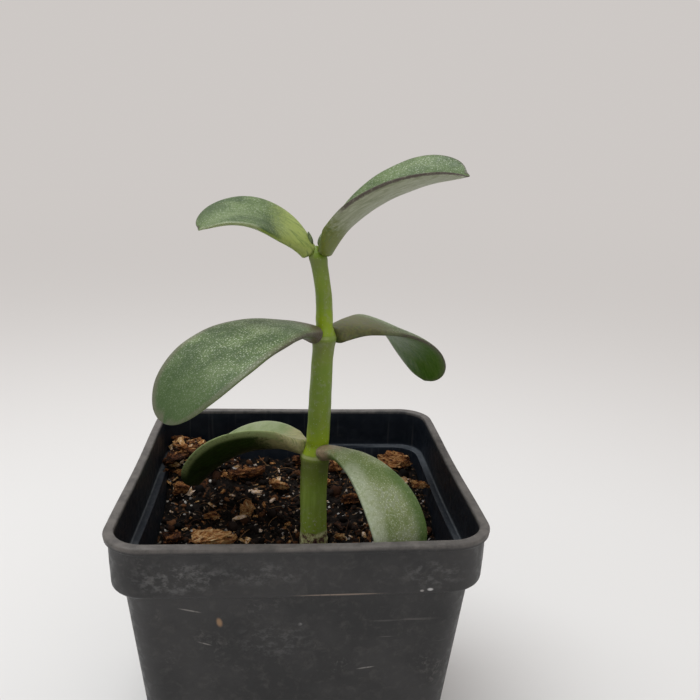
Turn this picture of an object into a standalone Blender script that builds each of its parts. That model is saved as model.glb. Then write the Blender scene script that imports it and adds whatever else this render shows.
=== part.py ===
"""A young jade plant growing in a square plastic nursery pot.

Metres, +Z up. The origin is the centre of the pot's underside; +X is to the right and -Y is
the front. Every piece of the plant is placed from the soil level at the stem, and the soil
and its bark chips are placed from the inside of the pot.
"""
import math
import random

import bmesh
import bpy
from mathutils import Matrix, Vector
from mathutils.bvhtree import BVHTree

MM = 0.001
CLEARANCE = 0.3 * MM            # between pieces that touch

# The pot, outside
LIP_WIDTH = 89.0 * MM           # across the rim
POT_HEIGHT = 84.0 * MM
LIP_HEIGHT = 1.6 * MM
LIP_OVERHANG = 0.9 * MM         # the lip stands out from the band by this
BAND_HEIGHT = 13.4 * MM         # the straight band below the rim, lip included
BAND_TAPER = 0.3 * MM
BAND_STEP = 2.4 * MM            # the body is set in from the band by this
BODY_TAPER = 6.7 * MM           # on each side, from the step down to the base
LIP_CORNER = 10.0 * MM
BODY_CORNER = 8.0 * MM
BASE_CORNER = 6.5 * MM
EDGE_ROUND = 0.5 * MM

# The pot, inside
BODY_WALL = 1.0 * MM
BAND_WALL = 1.2 * MM
FLOOR_THICKNESS = 1.6 * MM
DRAIN_DIAMETER = 7.0 * MM
DRAIN_SPACING = 40.0 * MM

# The soil
SOIL_DROP = 22.0 * MM           # from the rim down to the soil at the stem
BACK_RISE = 5.5 * MM            # the soil is this much higher at the back wall
HEAP_HEIGHT = 5.0 * MM          # the heap in the back left corner
HEAP_RADIUS = 15.0 * MM
SIDE_HEAP_HEIGHT = 2.5 * MM     # the low heap at the right wall
SIDE_HEAP_RADIUS = 12.0 * MM

# The plant. Stem: (x, y, height above the soil, radius), the planted end first.
STEM_X = 4.5 * MM
STEM_Y = -7.0 * MM
PLANTED_DEPTH = 30.0 * MM
LOWER_RADIUS = 3.6 * MM         # of the stem below the first pair of leaves
MIDDLE_RADIUS = 2.95 * MM       # between the first and second pairs
UPPER_RADIUS = 2.1 * MM         # between the second and third pairs
LOWER_INTERNODE = 27.0 * MM     # stem from the soil up to the first pair of leaves
MIDDLE_INTERNODE = 32.5 * MM    # from the first pair up to the second
UPPER_INTERNODE = 20.8 * MM     # from the second pair up to the third
TIP_HEIGHT = 3.0 * MM           # of the growing tip above the top node
BUD_LENGTH = 3.6 * MM
BUD_RADIUS = 0.75 * MM
BUD_LEAN = 14.0

# The leaves
BLADE_THICKNESS = 3.2 * MM
TIP_ROOM = 4.6 * MM             # from the lower right leaf's tip to the wall of the pot's body

ROUND_SIDES = 16
SOIL_RINGS = 11
SOIL_CORNER_STEPS = 4
SOIL_SIDE_STEPS = 7

collection = None
cutter_collection = None


# ---------------------------------------------------------------- general helpers

def start_scene():
    """An empty scene with one collection for the plant and one for its cutters."""
    global collection, cutter_collection
    for old in list(bpy.data.objects):
        bpy.data.objects.remove(old, do_unlink=True)
    collection = bpy.data.collections.new("potted_jade_plant")
    cutter_collection = bpy.data.collections.new("cutters")
    bpy.context.scene.collection.children.link(collection)
    bpy.context.scene.collection.children.link(cutter_collection)


def material(name, colour, roughness):
    made = bpy.data.materials.get(name)
    if made is None:
        made = bpy.data.materials.new(name)
        made.use_nodes = True
        shader = made.node_tree.nodes["Principled BSDF"]
        shader.inputs["Base Color"].default_value = (*colour, 1.0)
        shader.inputs["Roughness"].default_value = roughness
        shader.inputs["Metallic"].default_value = 0.0
    return made


def add_object(name, bm, finish, smooth_angle=35.0):
    """Turn a finished bmesh into a named object with its own material."""
    mesh = bpy.data.meshes.new(name)
    bm.to_mesh(mesh)
    bm.free()
    made = bpy.data.objects.new(name, mesh)
    collection.objects.link(made)
    mesh.materials.append(finish)
    mesh.shade_smooth()
    mesh.set_sharp_from_angle(angle=math.radians(smooth_angle))
    return made


def add_cutter(name, bm):
    mesh = bpy.data.meshes.new(name)
    bm.to_mesh(mesh)
    bm.free()
    cutter = bpy.data.objects.new(name, mesh)
    cutter.hide_render = True
    cutter.display_type = 'WIRE'
    cutter_collection.objects.link(cutter)
    return cutter


def cut(target, cutter):
    boolean = target.modifiers.new("cut_" + cutter.name, 'BOOLEAN')
    boolean.operation = 'DIFFERENCE'
    boolean.solver = 'EXACT'
    boolean.object = cutter


def smooth_step(value):
    value = min(max(value, 0.0), 1.0)
    return value * value * (3.0 - 2.0 * value)


def loft(bm, rings):
    """Skin rings of equally many points, and close the first and the last ring."""
    loops = [[bm.verts.new(point) for point in points] for points in rings]
    for lower, upper in zip(loops[:-1], loops[1:]):
        for i in range(len(lower)):
            bm.faces.new((lower[i - 1], lower[i], upper[i], upper[i - 1]))
    bm.faces.new(reversed(loops[0]))
    bm.faces.new(loops[-1])


def rounded_square(half, corner, z=0.0, corner_steps=7, side_steps=1):
    """Points round a square with round corners, anticlockwise, at height z."""
    centre = half - corner
    points = []
    for quarter in range(4):
        turn = Matrix.Rotation(math.radians(90.0 * quarter), 2)
        for step in range(corner_steps + 1):
            angle = math.radians(90.0) * step / corner_steps
            points.append(turn @ Vector((centre + corner * math.cos(angle),
                                         centre + corner * math.sin(angle))))
        for step in range(1, side_steps):
            along = centre * (1 - 2 * step / side_steps)
            points.append(turn @ Vector((along, half)))
    return [(x, y, z) for x, y in points]


# ---------------------------------------------------------------- pot

LIP_HALF = LIP_WIDTH / 2
BAND_HALF = LIP_HALF - LIP_OVERHANG
BODY_TOP = POT_HEIGHT - BAND_HEIGHT
BODY_TOP_HALF = BAND_HALF - BAND_TAPER - BAND_STEP
BASE_HALF = BODY_TOP_HALF - BODY_TAPER
LEDGE_TOP = BODY_TOP + BODY_WALL


def body_half(z):
    """Half the body's outside width at height z."""
    return BASE_HALF + BODY_TAPER * z / BODY_TOP


def body_corner(z):
    return BASE_CORNER + (BODY_CORNER - BASE_CORNER) * z / BODY_TOP


def inside_half(z):
    """Half the room inside the pot at height z."""
    if z > LEDGE_TOP:
        return BAND_HALF - BAND_TAPER - BAND_WALL
    return body_half(z) - BODY_WALL


def inside_corner(z):
    if z > LEDGE_TOP:
        return LIP_CORNER - LIP_OVERHANG - BAND_WALL
    return body_corner(z) - BODY_WALL


def build_pot():
    band_corner = LIP_CORNER - LIP_OVERHANG
    lip_bottom = POT_HEIGHT - LIP_HEIGHT
    profile = [
        # outside, from the base up: half width, corner radius, height
        (BASE_HALF - EDGE_ROUND, BASE_CORNER - EDGE_ROUND, 0.0),
        (body_half(EDGE_ROUND), body_corner(EDGE_ROUND), EDGE_ROUND),
        (BODY_TOP_HALF, BODY_CORNER, BODY_TOP),
        (BAND_HALF - BAND_TAPER - EDGE_ROUND, band_corner - EDGE_ROUND, BODY_TOP),
        (BAND_HALF - BAND_TAPER, band_corner, BODY_TOP + EDGE_ROUND),
        (BAND_HALF, band_corner, lip_bottom - EDGE_ROUND),
        (LIP_HALF, LIP_CORNER, lip_bottom),
        (LIP_HALF, LIP_CORNER, POT_HEIGHT - EDGE_ROUND),
        (LIP_HALF - EDGE_ROUND, LIP_CORNER - EDGE_ROUND, POT_HEIGHT),
        # inside, from the rim down
        (inside_half(POT_HEIGHT) + EDGE_ROUND, inside_corner(POT_HEIGHT) + EDGE_ROUND, POT_HEIGHT),
        (inside_half(POT_HEIGHT), inside_corner(POT_HEIGHT), POT_HEIGHT - EDGE_ROUND),
        (inside_half(POT_HEIGHT), inside_corner(POT_HEIGHT), LEDGE_TOP),
        (inside_half(LEDGE_TOP), inside_corner(LEDGE_TOP), LEDGE_TOP),
        (inside_half(FLOOR_THICKNESS), inside_corner(FLOOR_THICKNESS), FLOOR_THICKNESS),
    ]
    bm = bmesh.new()
    loft(bm, [rounded_square(half, corner, z) for half, corner, z in profile])
    pot = add_object("pot", bm, material("black_plastic", (0.045, 0.046, 0.05), 0.45))

    holes = bmesh.new()
    for side_x in (-1, 1):
        for side_y in (-1, 1):
            place = Matrix.Translation((side_x * DRAIN_SPACING / 2, side_y * DRAIN_SPACING / 2,
                                        FLOOR_THICKNESS / 2))
            bmesh.ops.create_cone(holes, cap_ends=True, segments=20, radius1=DRAIN_DIAMETER / 2,
                                  radius2=DRAIN_DIAMETER / 2, depth=3 * FLOOR_THICKNESS,
                                  matrix=place)
    cut(pot, add_cutter("drain_hole_cutter", holes))
    return pot


# ---------------------------------------------------------------- soil

SOIL_LEVEL = POT_HEIGHT - SOIL_DROP
SOIL_BOTTOM = FLOOR_THICKNESS + CLEARANCE
SOIL_HALF = inside_half(LEDGE_TOP) - CLEARANCE
SOIL_CORNER = inside_corner(LEDGE_TOP) - CLEARANCE


def heap(x, y, centre_x, centre_y, radius):
    return smooth_step(1.0 - math.hypot(x - centre_x, y - centre_y) / (2 * radius))


def soil_surface(x, y):
    """Height of the top of the soil: level at the front, rising to the back and in two heaps."""
    back = smooth_step((y - STEM_Y) / (SOIL_HALF - STEM_Y))
    corner_heap = heap(x, y, -SOIL_HALF, SOIL_HALF, HEAP_RADIUS)
    side_heap = heap(x, y, SOIL_HALF, 0.25 * SOIL_HALF, SIDE_HEAP_RADIUS)
    ripple = 0.35 * MM * math.sin(x / (4.1 * MM)) * math.cos(y / (3.7 * MM))
    return (SOIL_LEVEL + BACK_RISE * back + HEAP_HEIGHT * corner_heap
            + SIDE_HEAP_HEIGHT * side_heap + ripple)


def room_for_soil(z):
    return inside_half(min(z, LEDGE_TOP)) - CLEARANCE


def soil_edge(z):
    """Outline of the soil against the pot's wall at height z."""
    corner = inside_corner(min(z, LEDGE_TOP)) - CLEARANCE
    return rounded_square(room_for_soil(z), corner, z, SOIL_CORNER_STEPS, SOIL_SIDE_STEPS)


def build_soil(stem_socket):
    wall_top = SOIL_LEVEL - BACK_RISE
    rings = [soil_edge(SOIL_BOTTOM), soil_edge(wall_top)]
    outline = soil_edge(SOIL_LEVEL)
    for ring in range(SOIL_RINGS):
        share = 1.0 - ring / SOIL_RINGS
        rings.append([(x * share, y * share, soil_surface(x * share, y * share))
                      for x, y, _ in outline])
    bm = bmesh.new()
    loft(bm, rings)
    bmesh.ops.triangulate(bm, faces=[face for face in bm.faces if len(face.verts) > 4])
    soil = add_object("soil", bm, material("potting_soil", (0.03, 0.022, 0.018), 0.95))
    cut(soil, stem_socket)
    return soil


# ---------------------------------------------------------------- stem

LOWER_NODE = LOWER_INTERNODE    # heights of the three pairs of leaves above the soil
MIDDLE_NODE = LOWER_NODE + MIDDLE_INTERNODE
TOP_NODE = MIDDLE_NODE + UPPER_INTERNODE


def stem_points():
    """(x, y, height above the soil, radius) along the stem, the planted end first."""
    return [
        (STEM_X, STEM_Y, -PLANTED_DEPTH, 0.6 * LOWER_RADIUS),
        (STEM_X, STEM_Y, -0.9 * PLANTED_DEPTH, 0.9 * LOWER_RADIUS),
        (STEM_X, STEM_Y, -0.3 * PLANTED_DEPTH, LOWER_RADIUS),
        (STEM_X - 0.1 * MM, STEM_Y, 0.1 * LOWER_NODE, LOWER_RADIUS),
        (STEM_X - 0.4 * MM, STEM_Y, 0.55 * LOWER_NODE, LOWER_RADIUS),
        (STEM_X - 0.2 * MM, STEM_Y, LOWER_NODE - 1.0 * MM, 1.01 * LOWER_RADIUS),
        (STEM_X + 0.4 * MM, STEM_Y, LOWER_NODE + 4.5 * MM, 1.05 * MIDDLE_RADIUS),
        (STEM_X + 0.8 * MM, STEM_Y, LOWER_NODE + 16.0 * MM, MIDDLE_RADIUS),
        (STEM_X + 1.1 * MM, STEM_Y, MIDDLE_NODE - 6.0 * MM, 0.94 * MIDDLE_RADIUS),
        (STEM_X + 1.4 * MM, STEM_Y, MIDDLE_NODE - 0.5 * MM, 0.95 * MIDDLE_RADIUS),
        (STEM_X + 1.4 * MM, STEM_Y, MIDDLE_NODE + 4.5 * MM, 1.08 * UPPER_RADIUS),
        (STEM_X + 1.2 * MM, STEM_Y, MIDDLE_NODE + 10.0 * MM, UPPER_RADIUS),
        (STEM_X + 0.5 * MM, STEM_Y, TOP_NODE - 5.5 * MM, 0.98 * UPPER_RADIUS),
        (STEM_X - 0.5 * MM, STEM_Y, TOP_NODE, 0.98 * UPPER_RADIUS),
        (STEM_X - 0.9 * MM, STEM_Y, TOP_NODE + 0.5 * TIP_HEIGHT, 0.75 * UPPER_RADIUS),
        (STEM_X - 1.3 * MM, STEM_Y, TOP_NODE + TIP_HEIGHT, 0.33 * UPPER_RADIUS),
    ]


def between(before, start, end, after, share):
    """Catmull-Rom value between start and end."""
    return 0.5 * (2 * start + (end - before) * share
                  + (2 * before - 5 * start + 4 * end - after) * share ** 2
                  + (3 * start - before - 3 * end + after) * share ** 3)


def stem_path(grow=0.0, steps=3):
    """The stem's centre line in the pot's frame, as (place, radius), grown all round by grow."""
    points = stem_points()
    last = len(points) - 1
    path = []
    for i in range(last):
        around = [points[max(i - 1, 0)], points[i], points[i + 1], points[min(i + 2, last)]]
        for step in range(steps):
            x, y, z, radius = (between(*values, step / steps) for values in zip(*around))
            path.append((Vector((x, y, SOIL_LEVEL + z)), radius + grow))
    x, y, z, radius = points[-1]
    path.append((Vector((x, y, SOIL_LEVEL + z)), radius + grow))
    if grow:
        down = (path[0][0] - path[1][0]).normalized() * grow
        up = (path[-1][0] - path[-2][0]).normalized() * grow
        path[0] = (path[0][0] + down, path[0][1])
        path[-1] = (path[-1][0] + up, path[-1][1])
    return path


def stem_bmesh(grow=0.0):
    """A tube along the stem whose radius follows the stem's, with its ends closed."""
    path = stem_path(grow)
    data = bpy.data.curves.new("stem_curve", 'CURVE')
    data.dimensions = '3D'
    data.bevel_depth = MM
    data.bevel_resolution = ROUND_SIDES // 2 - 2
    data.use_fill_caps = True
    data.twist_mode = 'MINIMUM'
    spline = data.splines.new('POLY')
    spline.points.add(len(path) - 1)
    for point, (place, radius) in zip(spline.points, path):
        point.co = (*place, 1.0)
        point.radius = radius / MM
    curve = bpy.data.objects.new("stem_curve", data)
    cutter_collection.objects.link(curve)
    bpy.context.view_layer.update()
    graph = bpy.context.evaluated_depsgraph_get()
    mesh = bpy.data.meshes.new_from_object(curve.evaluated_get(graph))
    bm = bmesh.new()
    bm.from_mesh(mesh)
    bmesh.ops.remove_doubles(bm, verts=bm.verts, dist=0.001 * MM)
    bpy.data.objects.remove(curve, do_unlink=True)
    bpy.data.meshes.remove(mesh)
    return bm


def stem_centre(height):
    """Centre of the stem at a height above the soil."""
    path = stem_path()
    z = SOIL_LEVEL + height
    for (low, _), (high, _) in zip(path[:-1], path[1:]):
        if low.z <= z <= high.z:
            return low.lerp(high, (z - low.z) / (high.z - low.z))
    return path[-1][0].copy()


# ---------------------------------------------------------------- leaves

# Each leaf: azimuth, rise and roll are degrees at the petiole and at the tip; bend shapes how
# the rise turns into the droop; channel is how far the margins stand up, as a share of the
# half width; widest, petiole and fullness shape the outline.
LEAVES = {
    "leaf_lower_left": dict(
        node=LOWER_NODE, azimuth=(148, 149), rise=(2, -58), roll=(-23, 13), bend=1.0,
        length=44.0 * MM, width=23.5 * MM, channel=0.47, widest=0.57, petiole=0.25,
        fullness=0.9, lift=1.9 * MM, offset=2.2 * MM, petiole_thickness=4.4 * MM),
    "leaf_lower_right": dict(
        node=LOWER_NODE, azimuth=(-50, -62), rise=(26, -86), roll=(4, 9), bend=1.0,
        length=None, width=18.0 * MM, channel=0.10, widest=0.75, petiole=0.25,
        fullness=1.5, lift=1.5 * MM, offset=1.9 * MM, petiole_thickness=4.4 * MM),
    "leaf_middle_left": dict(
        node=MIDDLE_NODE, azimuth=(226, 222), rise=(28, -55), roll=(6, -4), bend=1.0,
        length=52.0 * MM, width=26.0 * MM, channel=0.03, widest=0.65, petiole=0.17,
        fullness=1.1, lift=1.2 * MM, offset=2.6 * MM, petiole_thickness=4.7 * MM),
    "leaf_middle_right": dict(
        node=MIDDLE_NODE, azimuth=(39, 48), rise=(15, -69), roll=(-9, -9), bend=1.05,
        length=52.0 * MM, width=23.0 * MM, channel=0.04, widest=0.63, petiole=0.20,
        fullness=1.15, lift=0.6 * MM, offset=2.6 * MM, petiole_thickness=4.7 * MM),
    "leaf_top_left": dict(
        node=TOP_NODE, azimuth=(184, 208), rise=(52, -34), roll=(45, 0), bend=1.2,
        length=31.0 * MM, width=19.5 * MM, channel=0.10, widest=0.62, petiole=0.22,
        fullness=1.5, lift=0.8 * MM, offset=1.9 * MM, petiole_thickness=4.0 * MM),
    "leaf_top_right": dict(
        node=TOP_NODE, azimuth=(-17, -20), rise=(60, 3), roll=(-4, -16), bend=0.95,
        length=41.0 * MM, width=21.0 * MM, channel=0.41, widest=0.56, petiole=0.31,
        fullness=0.65, lift=1.0 * MM, offset=1.2 * MM, petiole_thickness=4.0 * MM),
}
PETIOLE_SHARE = 0.22            # of the leaf's length, where the petiole thins into the blade
CAP_SHARE = 0.03
CHANNEL_START = 0.15
TIP_POWER = 2.3
LINE_STEPS = 60


def leaf_direction(leaf, share):
    """Unit vector along the midrib, with the azimuth there."""
    turn = math.radians(leaf["azimuth"][0] + (leaf["azimuth"][1] - leaf["azimuth"][0]) * share)
    start, end = leaf["rise"]
    rise = math.radians(start + (end - start) * share ** leaf["bend"])
    along = Vector((math.cos(rise) * math.cos(turn), math.cos(rise) * math.sin(turn),
                    math.sin(rise)))
    return along, turn


def midrib(leaf, length):
    """Points along the midrib from the petiole's root, which is at zero."""
    line = [Vector((0, 0, 0))]
    for i in range(LINE_STEPS):
        along, _ = leaf_direction(leaf, (i + 0.5) / LINE_STEPS)
        line.append(line[-1] + along * length / LINE_STEPS)
    return line


def half_width(leaf, share):
    """Half the width of the leaf at a share of its length: narrow petiole, broad round end."""
    if share < leaf["widest"]:
        grown = math.sin(math.pi / 2 * share / leaf["widest"]) ** leaf["fullness"]
        width = leaf["petiole"] + (1 - leaf["petiole"]) * grown
    else:
        end = (share - leaf["widest"]) / (1 - leaf["widest"])
        width = math.sqrt(max(1 - end ** TIP_POWER, 0.0))
    return leaf["width"] / 2 * width * root_cap(share)


def half_thickness(leaf, share):
    thinning = smooth_step(share / PETIOLE_SHARE)
    thick = leaf["petiole_thickness"] + (BLADE_THICKNESS - leaf["petiole_thickness"]) * thinning
    return thick / 2 * (1 - 0.25 * share) * math.sqrt(max(1 - share ** 5, 0.0)) * root_cap(share)


def root_cap(share):
    return math.sqrt(max(1 - (1 - min(share / CAP_SHARE, 1.0)) ** 2, 0.0))


def leaf_root(leaf):
    turn = math.radians(leaf["azimuth"][0])
    root = stem_centre(leaf["node"])
    return root + Vector((math.cos(turn), math.sin(turn), 0)) * leaf["offset"] \
        + Vector((0, 0, leaf["lift"]))


def leaf_length(leaf):
    """A leaf that hangs inside the pot is as long as the room in front of it allows."""
    if leaf["length"] is not None:
        return leaf["length"]
    reach = midrib(leaf, 1.0)[-1]
    wall = -(inside_half(LEDGE_TOP) - TIP_ROOM)
    return (wall - leaf_root(leaf).y) / reach.y


def build_leaf(name, leaf, stem_socket):
    """A sphere drawn out along the midrib, so its rings become the leaf's cross-sections."""
    length = leaf_length(leaf)
    line = midrib(leaf, length)
    root = leaf_root(leaf)
    bm = bmesh.new()
    bmesh.ops.create_uvsphere(bm, u_segments=ROUND_SIDES, v_segments=22, radius=1.0)
    for vert in bm.verts:
        share = min(max((1 - vert.co.z) / 2, 0.0), 1.0)
        angle = math.atan2(vert.co.y, vert.co.x)
        across, over = math.cos(angle), math.sin(angle)
        along, turn = leaf_direction(leaf, share)
        side = Vector((math.sin(turn), -math.cos(turn), 0))
        above = side.cross(along)
        roll = math.radians(leaf["roll"][0] + (leaf["roll"][1] - leaf["roll"][0]) * share)
        side, above = (side * math.cos(roll) + above * math.sin(roll),
                       above * math.cos(roll) - side * math.sin(roll))
        width = half_width(leaf, share)
        channel = leaf["channel"] * min(share / CHANNEL_START, 1.0) * width
        place = share * LINE_STEPS
        step = min(int(place), LINE_STEPS - 1)
        centre = line[step].lerp(line[step + 1], place - step)
        vert.co = (root + centre + side * width * across
                   + above * (half_thickness(leaf, share) * over
                              + channel * abs(across) ** 1.6))
    trim_at_stem(bm, leaf)
    bmesh.ops.recalc_face_normals(bm, faces=bm.faces)
    made = add_object(name, bm, material(name + "_green", (0.13, 0.21, 0.085), 0.5))
    cut(made, stem_socket)
    return made


def build_top_of_plant(leaves):
    """The unopened leaves, and the room for them between the two top leaves."""
    for name, side in BUDS.items():
        add_object(name, bud_bmesh(side), material("bud_green", (0.10, 0.16, 0.05), 0.5))
        socket = add_cutter(name + "_cutter", bud_bmesh(side, CLEARANCE))
        for leaf_name, leaf in LEAVES.items():
            if leaf["node"] == TOP_NODE:
                cut(leaves[leaf_name], socket)


def trim_at_stem(bm, leaf):
    """Cut the leaf off at the middle of the stem, where its opposite leaf starts."""
    turn = math.radians(leaf["azimuth"][0])
    outward = Vector((math.cos(turn), 0, 0)).normalized()
    plane = stem_centre(leaf["node"]) + outward * CLEARANCE
    geometry = bm.verts[:] + bm.edges[:] + bm.faces[:]
    bmesh.ops.bisect_plane(bm, geom=geometry, dist=0.001 * MM, plane_co=plane,
                           plane_no=outward, clear_inner=True)
    open_edges = [edge for edge in bm.edges if edge.is_boundary]
    if open_edges:
        bmesh.ops.holes_fill(bm, edges=open_edges, sides=0)


def bud_bmesh(side, grow=0.0):
    """One unopened leaf on the growing tip, on the left (-1) or the right (1)."""
    top = stem_path()[-1][0]
    bm = bmesh.new()
    bmesh.ops.create_uvsphere(bm, u_segments=10, v_segments=8, radius=1.0)
    for vert in bm.verts:
        share = (vert.co.z + 1) / 2
        radius = BUD_RADIUS * (1.0 - 0.45 * share) + grow
        vert.co = Vector((vert.co.x * radius, vert.co.y * radius * 1.3,
                          share * (BUD_LENGTH + 2 * grow) - grow))
    lean = Matrix.Rotation(math.radians(BUD_LEAN * side), 4, 'Y')
    start = top + Vector((side * (BUD_RADIUS + CLEARANCE), 0, CLEARANCE))
    bmesh.ops.transform(bm, matrix=Matrix.Translation(start) @ lean, verts=bm.verts)
    return bm


BUDS = {"bud_leaf_left": -1, "bud_leaf_right": 1}


# ---------------------------------------------------------------- bark chips

# Place as shares of the soil's half width, (length, width, thickness) in mm, turn in degrees.
CHIPS = [
    ("bark_chip_heap_1", (-0.93, 0.93), (10, 8, 4), 35),
    ("bark_chip_heap_2", (-0.74, 0.72), (11, 7, 3.5), -20),
    ("bark_chip_heap_3", (-0.95, 0.66), (9, 6, 4), 70),
    ("bark_chip_heap_4", (-0.62, 0.95), (9, 6, 3.5), 10),
    ("bark_chip_heap_5", (-0.88, 0.42), (6, 5, 4), 50),
    ("bark_chip_broad", (-0.57, -0.17), (14, 8, 4), 4),
    ("bark_chip_long", (-0.40, 0.66), (13, 4, 3.5), 8),
    ("bark_chip_pale", (-0.14, 0.52), (7, 5, 3), -35),
    ("bark_chip_orange", (-0.36, 0.24), (7, 4.5, 3), 75),
    ("bark_chip_left", (-0.86, -0.12), (6, 5, 3.5), 25),
    ("bark_chip_front_left", (-0.70, -0.72), (9, 5, 3), -40),
    ("bark_chip_front", (-0.14, -0.68), (8, 5, 3), 15),
    ("bark_chip_front_right", (0.82, -0.62), (8, 6, 3.5), 60),
    ("bark_chip_by_stem", (0.30, -0.12), (3.6, 3, 2), 10),
    ("bark_chip_behind_stem", (0.34, 0.76), (7, 5, 4), -60),
    ("bark_chip_middle", (0.42, 0.34), (7, 4, 3), 20),
    ("bark_chip_right_wall", (0.93, 0.24), (6, 4, 2.5), 5),
    ("bark_chip_right", (0.88, -0.16), (4.5, 3.5, 2.5), 45),
    ("bark_chip_back_right", (0.82, 0.80), (12, 7, 5), -30),
    ("bark_chip_back", (0.06, 0.90), (8, 5, 3.5), 12),
    ("bark_chip_small_left", (-0.62, 0.16), (5, 3.5, 2.5), -15),
    ("bark_chip_small_right", (0.64, 0.56), (5, 4, 2.5), 35),
]
CHIP_POINTS = 18
CHIP_COLOURS = ((0.20, 0.10, 0.045), (0.30, 0.19, 0.10), (0.12, 0.06, 0.03))
SAMPLE_STEP = 0.25 * MM
DROP_HEIGHT = 40.0 * MM


def ground(x, y):
    """What a chip comes to rest on: the soil, or the ledge round it."""
    corner = SOIL_CORNER
    past_x = max(abs(x) - (SOIL_HALF - corner), 0.0)
    past_y = max(abs(y) - (SOIL_HALF - corner), 0.0)
    if math.hypot(past_x, past_y) <= corner:
        return soil_surface(x, y)
    return LEDGE_TOP


def chip_shape(size, turn, rng):
    """A splinter of bark: the hull of points scattered in a flat, blunt box."""
    bm = bmesh.new()
    for _ in range(CHIP_POINTS):
        point = Vector([rng.uniform(-1, 1) for _ in range(3)])
        point /= max(abs(point.x), abs(point.y), abs(point.z))
        point *= rng.uniform(0.82, 1.0)
        bm.verts.new(point)
    bmesh.ops.convex_hull(bm, input=bm.verts)
    bmesh.ops.recalc_face_normals(bm, faces=bm.faces)
    for vert in [v for v in bm.verts if not v.link_faces]:
        bm.verts.remove(vert)
    length, width, thickness = size
    bmesh.ops.scale(bm, vec=(length / 2 * MM, width / 2 * MM, thickness / 2 * MM), verts=bm.verts)
    tilt = Matrix.Rotation(math.radians(rng.uniform(-9, 9)), 4, 'X')
    swing = Matrix.Rotation(math.radians(turn), 4, 'Z')
    bmesh.ops.transform(bm, matrix=swing @ tilt, verts=bm.verts)
    return bm


def keep_inside(x, y, bm):
    """Move a chip's centre in from the pot's wall until its corners clear it."""
    room = inside_half(LEDGE_TOP + CLEARANCE) - 2 * CLEARANCE
    corner = inside_corner(LEDGE_TOP + CLEARANCE)
    reach_x = max(abs(vert.co.x) for vert in bm.verts)
    reach_y = max(abs(vert.co.y) for vert in bm.verts)
    limit_x, limit_y = room - reach_x, room - reach_y
    if abs(x) + reach_x > room - corner and abs(y) + reach_y > room - corner:
        limit_x -= 0.3 * corner
        limit_y -= 0.3 * corner
    return (max(-limit_x, min(limit_x, x)), max(-limit_y, min(limit_y, y)))


def rest_height(bm, x, y, placed):
    """The lowest height at which the chip clears the ground and the chips already down."""
    tree = BVHTree.FromBMesh(bm)
    reach = max(vert.co.xy.length for vert in bm.verts)
    steps = int(reach / SAMPLE_STEP) + 1
    up, down = Vector((0, 0, 1)), Vector((0, 0, -1))
    height = 0.0
    for i in range(-steps, steps + 1):
        for j in range(-steps, steps + 1):
            dx, dy = i * SAMPLE_STEP, j * SAMPLE_STEP
            under = tree.ray_cast(Vector((dx, dy, -DROP_HEIGHT)), up)[0]
            if under is None:
                continue
            support = ground(x + dx, y + dy)
            above = Vector((x + dx, y + dy, POT_HEIGHT + DROP_HEIGHT))
            for other in placed:
                hit = other.ray_cast(above, down)[0]
                if hit is not None:
                    support = max(support, hit.z)
            height = max(height, support - under.z)
    return height + 2 * CLEARANCE


def build_chips():
    rng = random.Random(11)
    placed = []
    for number, (name, share, size, turn) in enumerate(CHIPS):
        bm = chip_shape(size, turn, rng)
        x, y = keep_inside(share[0] * SOIL_HALF, share[1] * SOIL_HALF, bm)
        height = rest_height(bm, x, y, placed)
        bmesh.ops.translate(bm, vec=(x, y, height), verts=bm.verts)
        placed.append(BVHTree.FromBMesh(bm))
        shade = number % len(CHIP_COLOURS)
        add_object(name, bm, material(f"bark_{shade}", CHIP_COLOURS[shade], 0.9), 20.0)


def main():
    start_scene()
    build_pot()
    stem_socket = add_cutter("stem_socket_cutter", stem_bmesh(CLEARANCE))
    build_soil(stem_socket)
    add_object("stem", stem_bmesh(), material("stem_green", (0.12, 0.20, 0.04), 0.5))
    leaves = {name: build_leaf(name, leaf, stem_socket) for name, leaf in LEAVES.items()}
    build_top_of_plant(leaves)
    build_chips()


main()
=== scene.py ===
import math
import random

import bmesh
import bpy
from mathutils import Matrix, Vector, noise


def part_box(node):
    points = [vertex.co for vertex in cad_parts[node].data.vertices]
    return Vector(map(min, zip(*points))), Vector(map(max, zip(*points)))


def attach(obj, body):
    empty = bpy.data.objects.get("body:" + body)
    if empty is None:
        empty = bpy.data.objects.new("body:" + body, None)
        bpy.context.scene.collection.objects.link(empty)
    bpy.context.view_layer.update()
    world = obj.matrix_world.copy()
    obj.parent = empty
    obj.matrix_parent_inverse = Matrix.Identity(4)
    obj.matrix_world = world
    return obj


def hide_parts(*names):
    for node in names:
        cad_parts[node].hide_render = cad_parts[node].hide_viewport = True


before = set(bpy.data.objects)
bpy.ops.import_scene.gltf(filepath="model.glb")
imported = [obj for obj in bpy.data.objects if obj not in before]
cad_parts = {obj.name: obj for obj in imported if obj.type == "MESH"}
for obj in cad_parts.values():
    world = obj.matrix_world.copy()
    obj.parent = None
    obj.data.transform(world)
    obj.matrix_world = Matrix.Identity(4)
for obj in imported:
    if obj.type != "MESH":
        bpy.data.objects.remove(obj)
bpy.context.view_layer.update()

# A young jade plant in a square nursery pot. Metres, +Z up, the pot's underside at the origin.
# The pot is swept from one profile, the stem and the leaves are a tube and spheres drawn along
# the frame's own lines, and the soil is a rough block with crumbs, splinters, fibres and bark.

MM = 0.001

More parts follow.
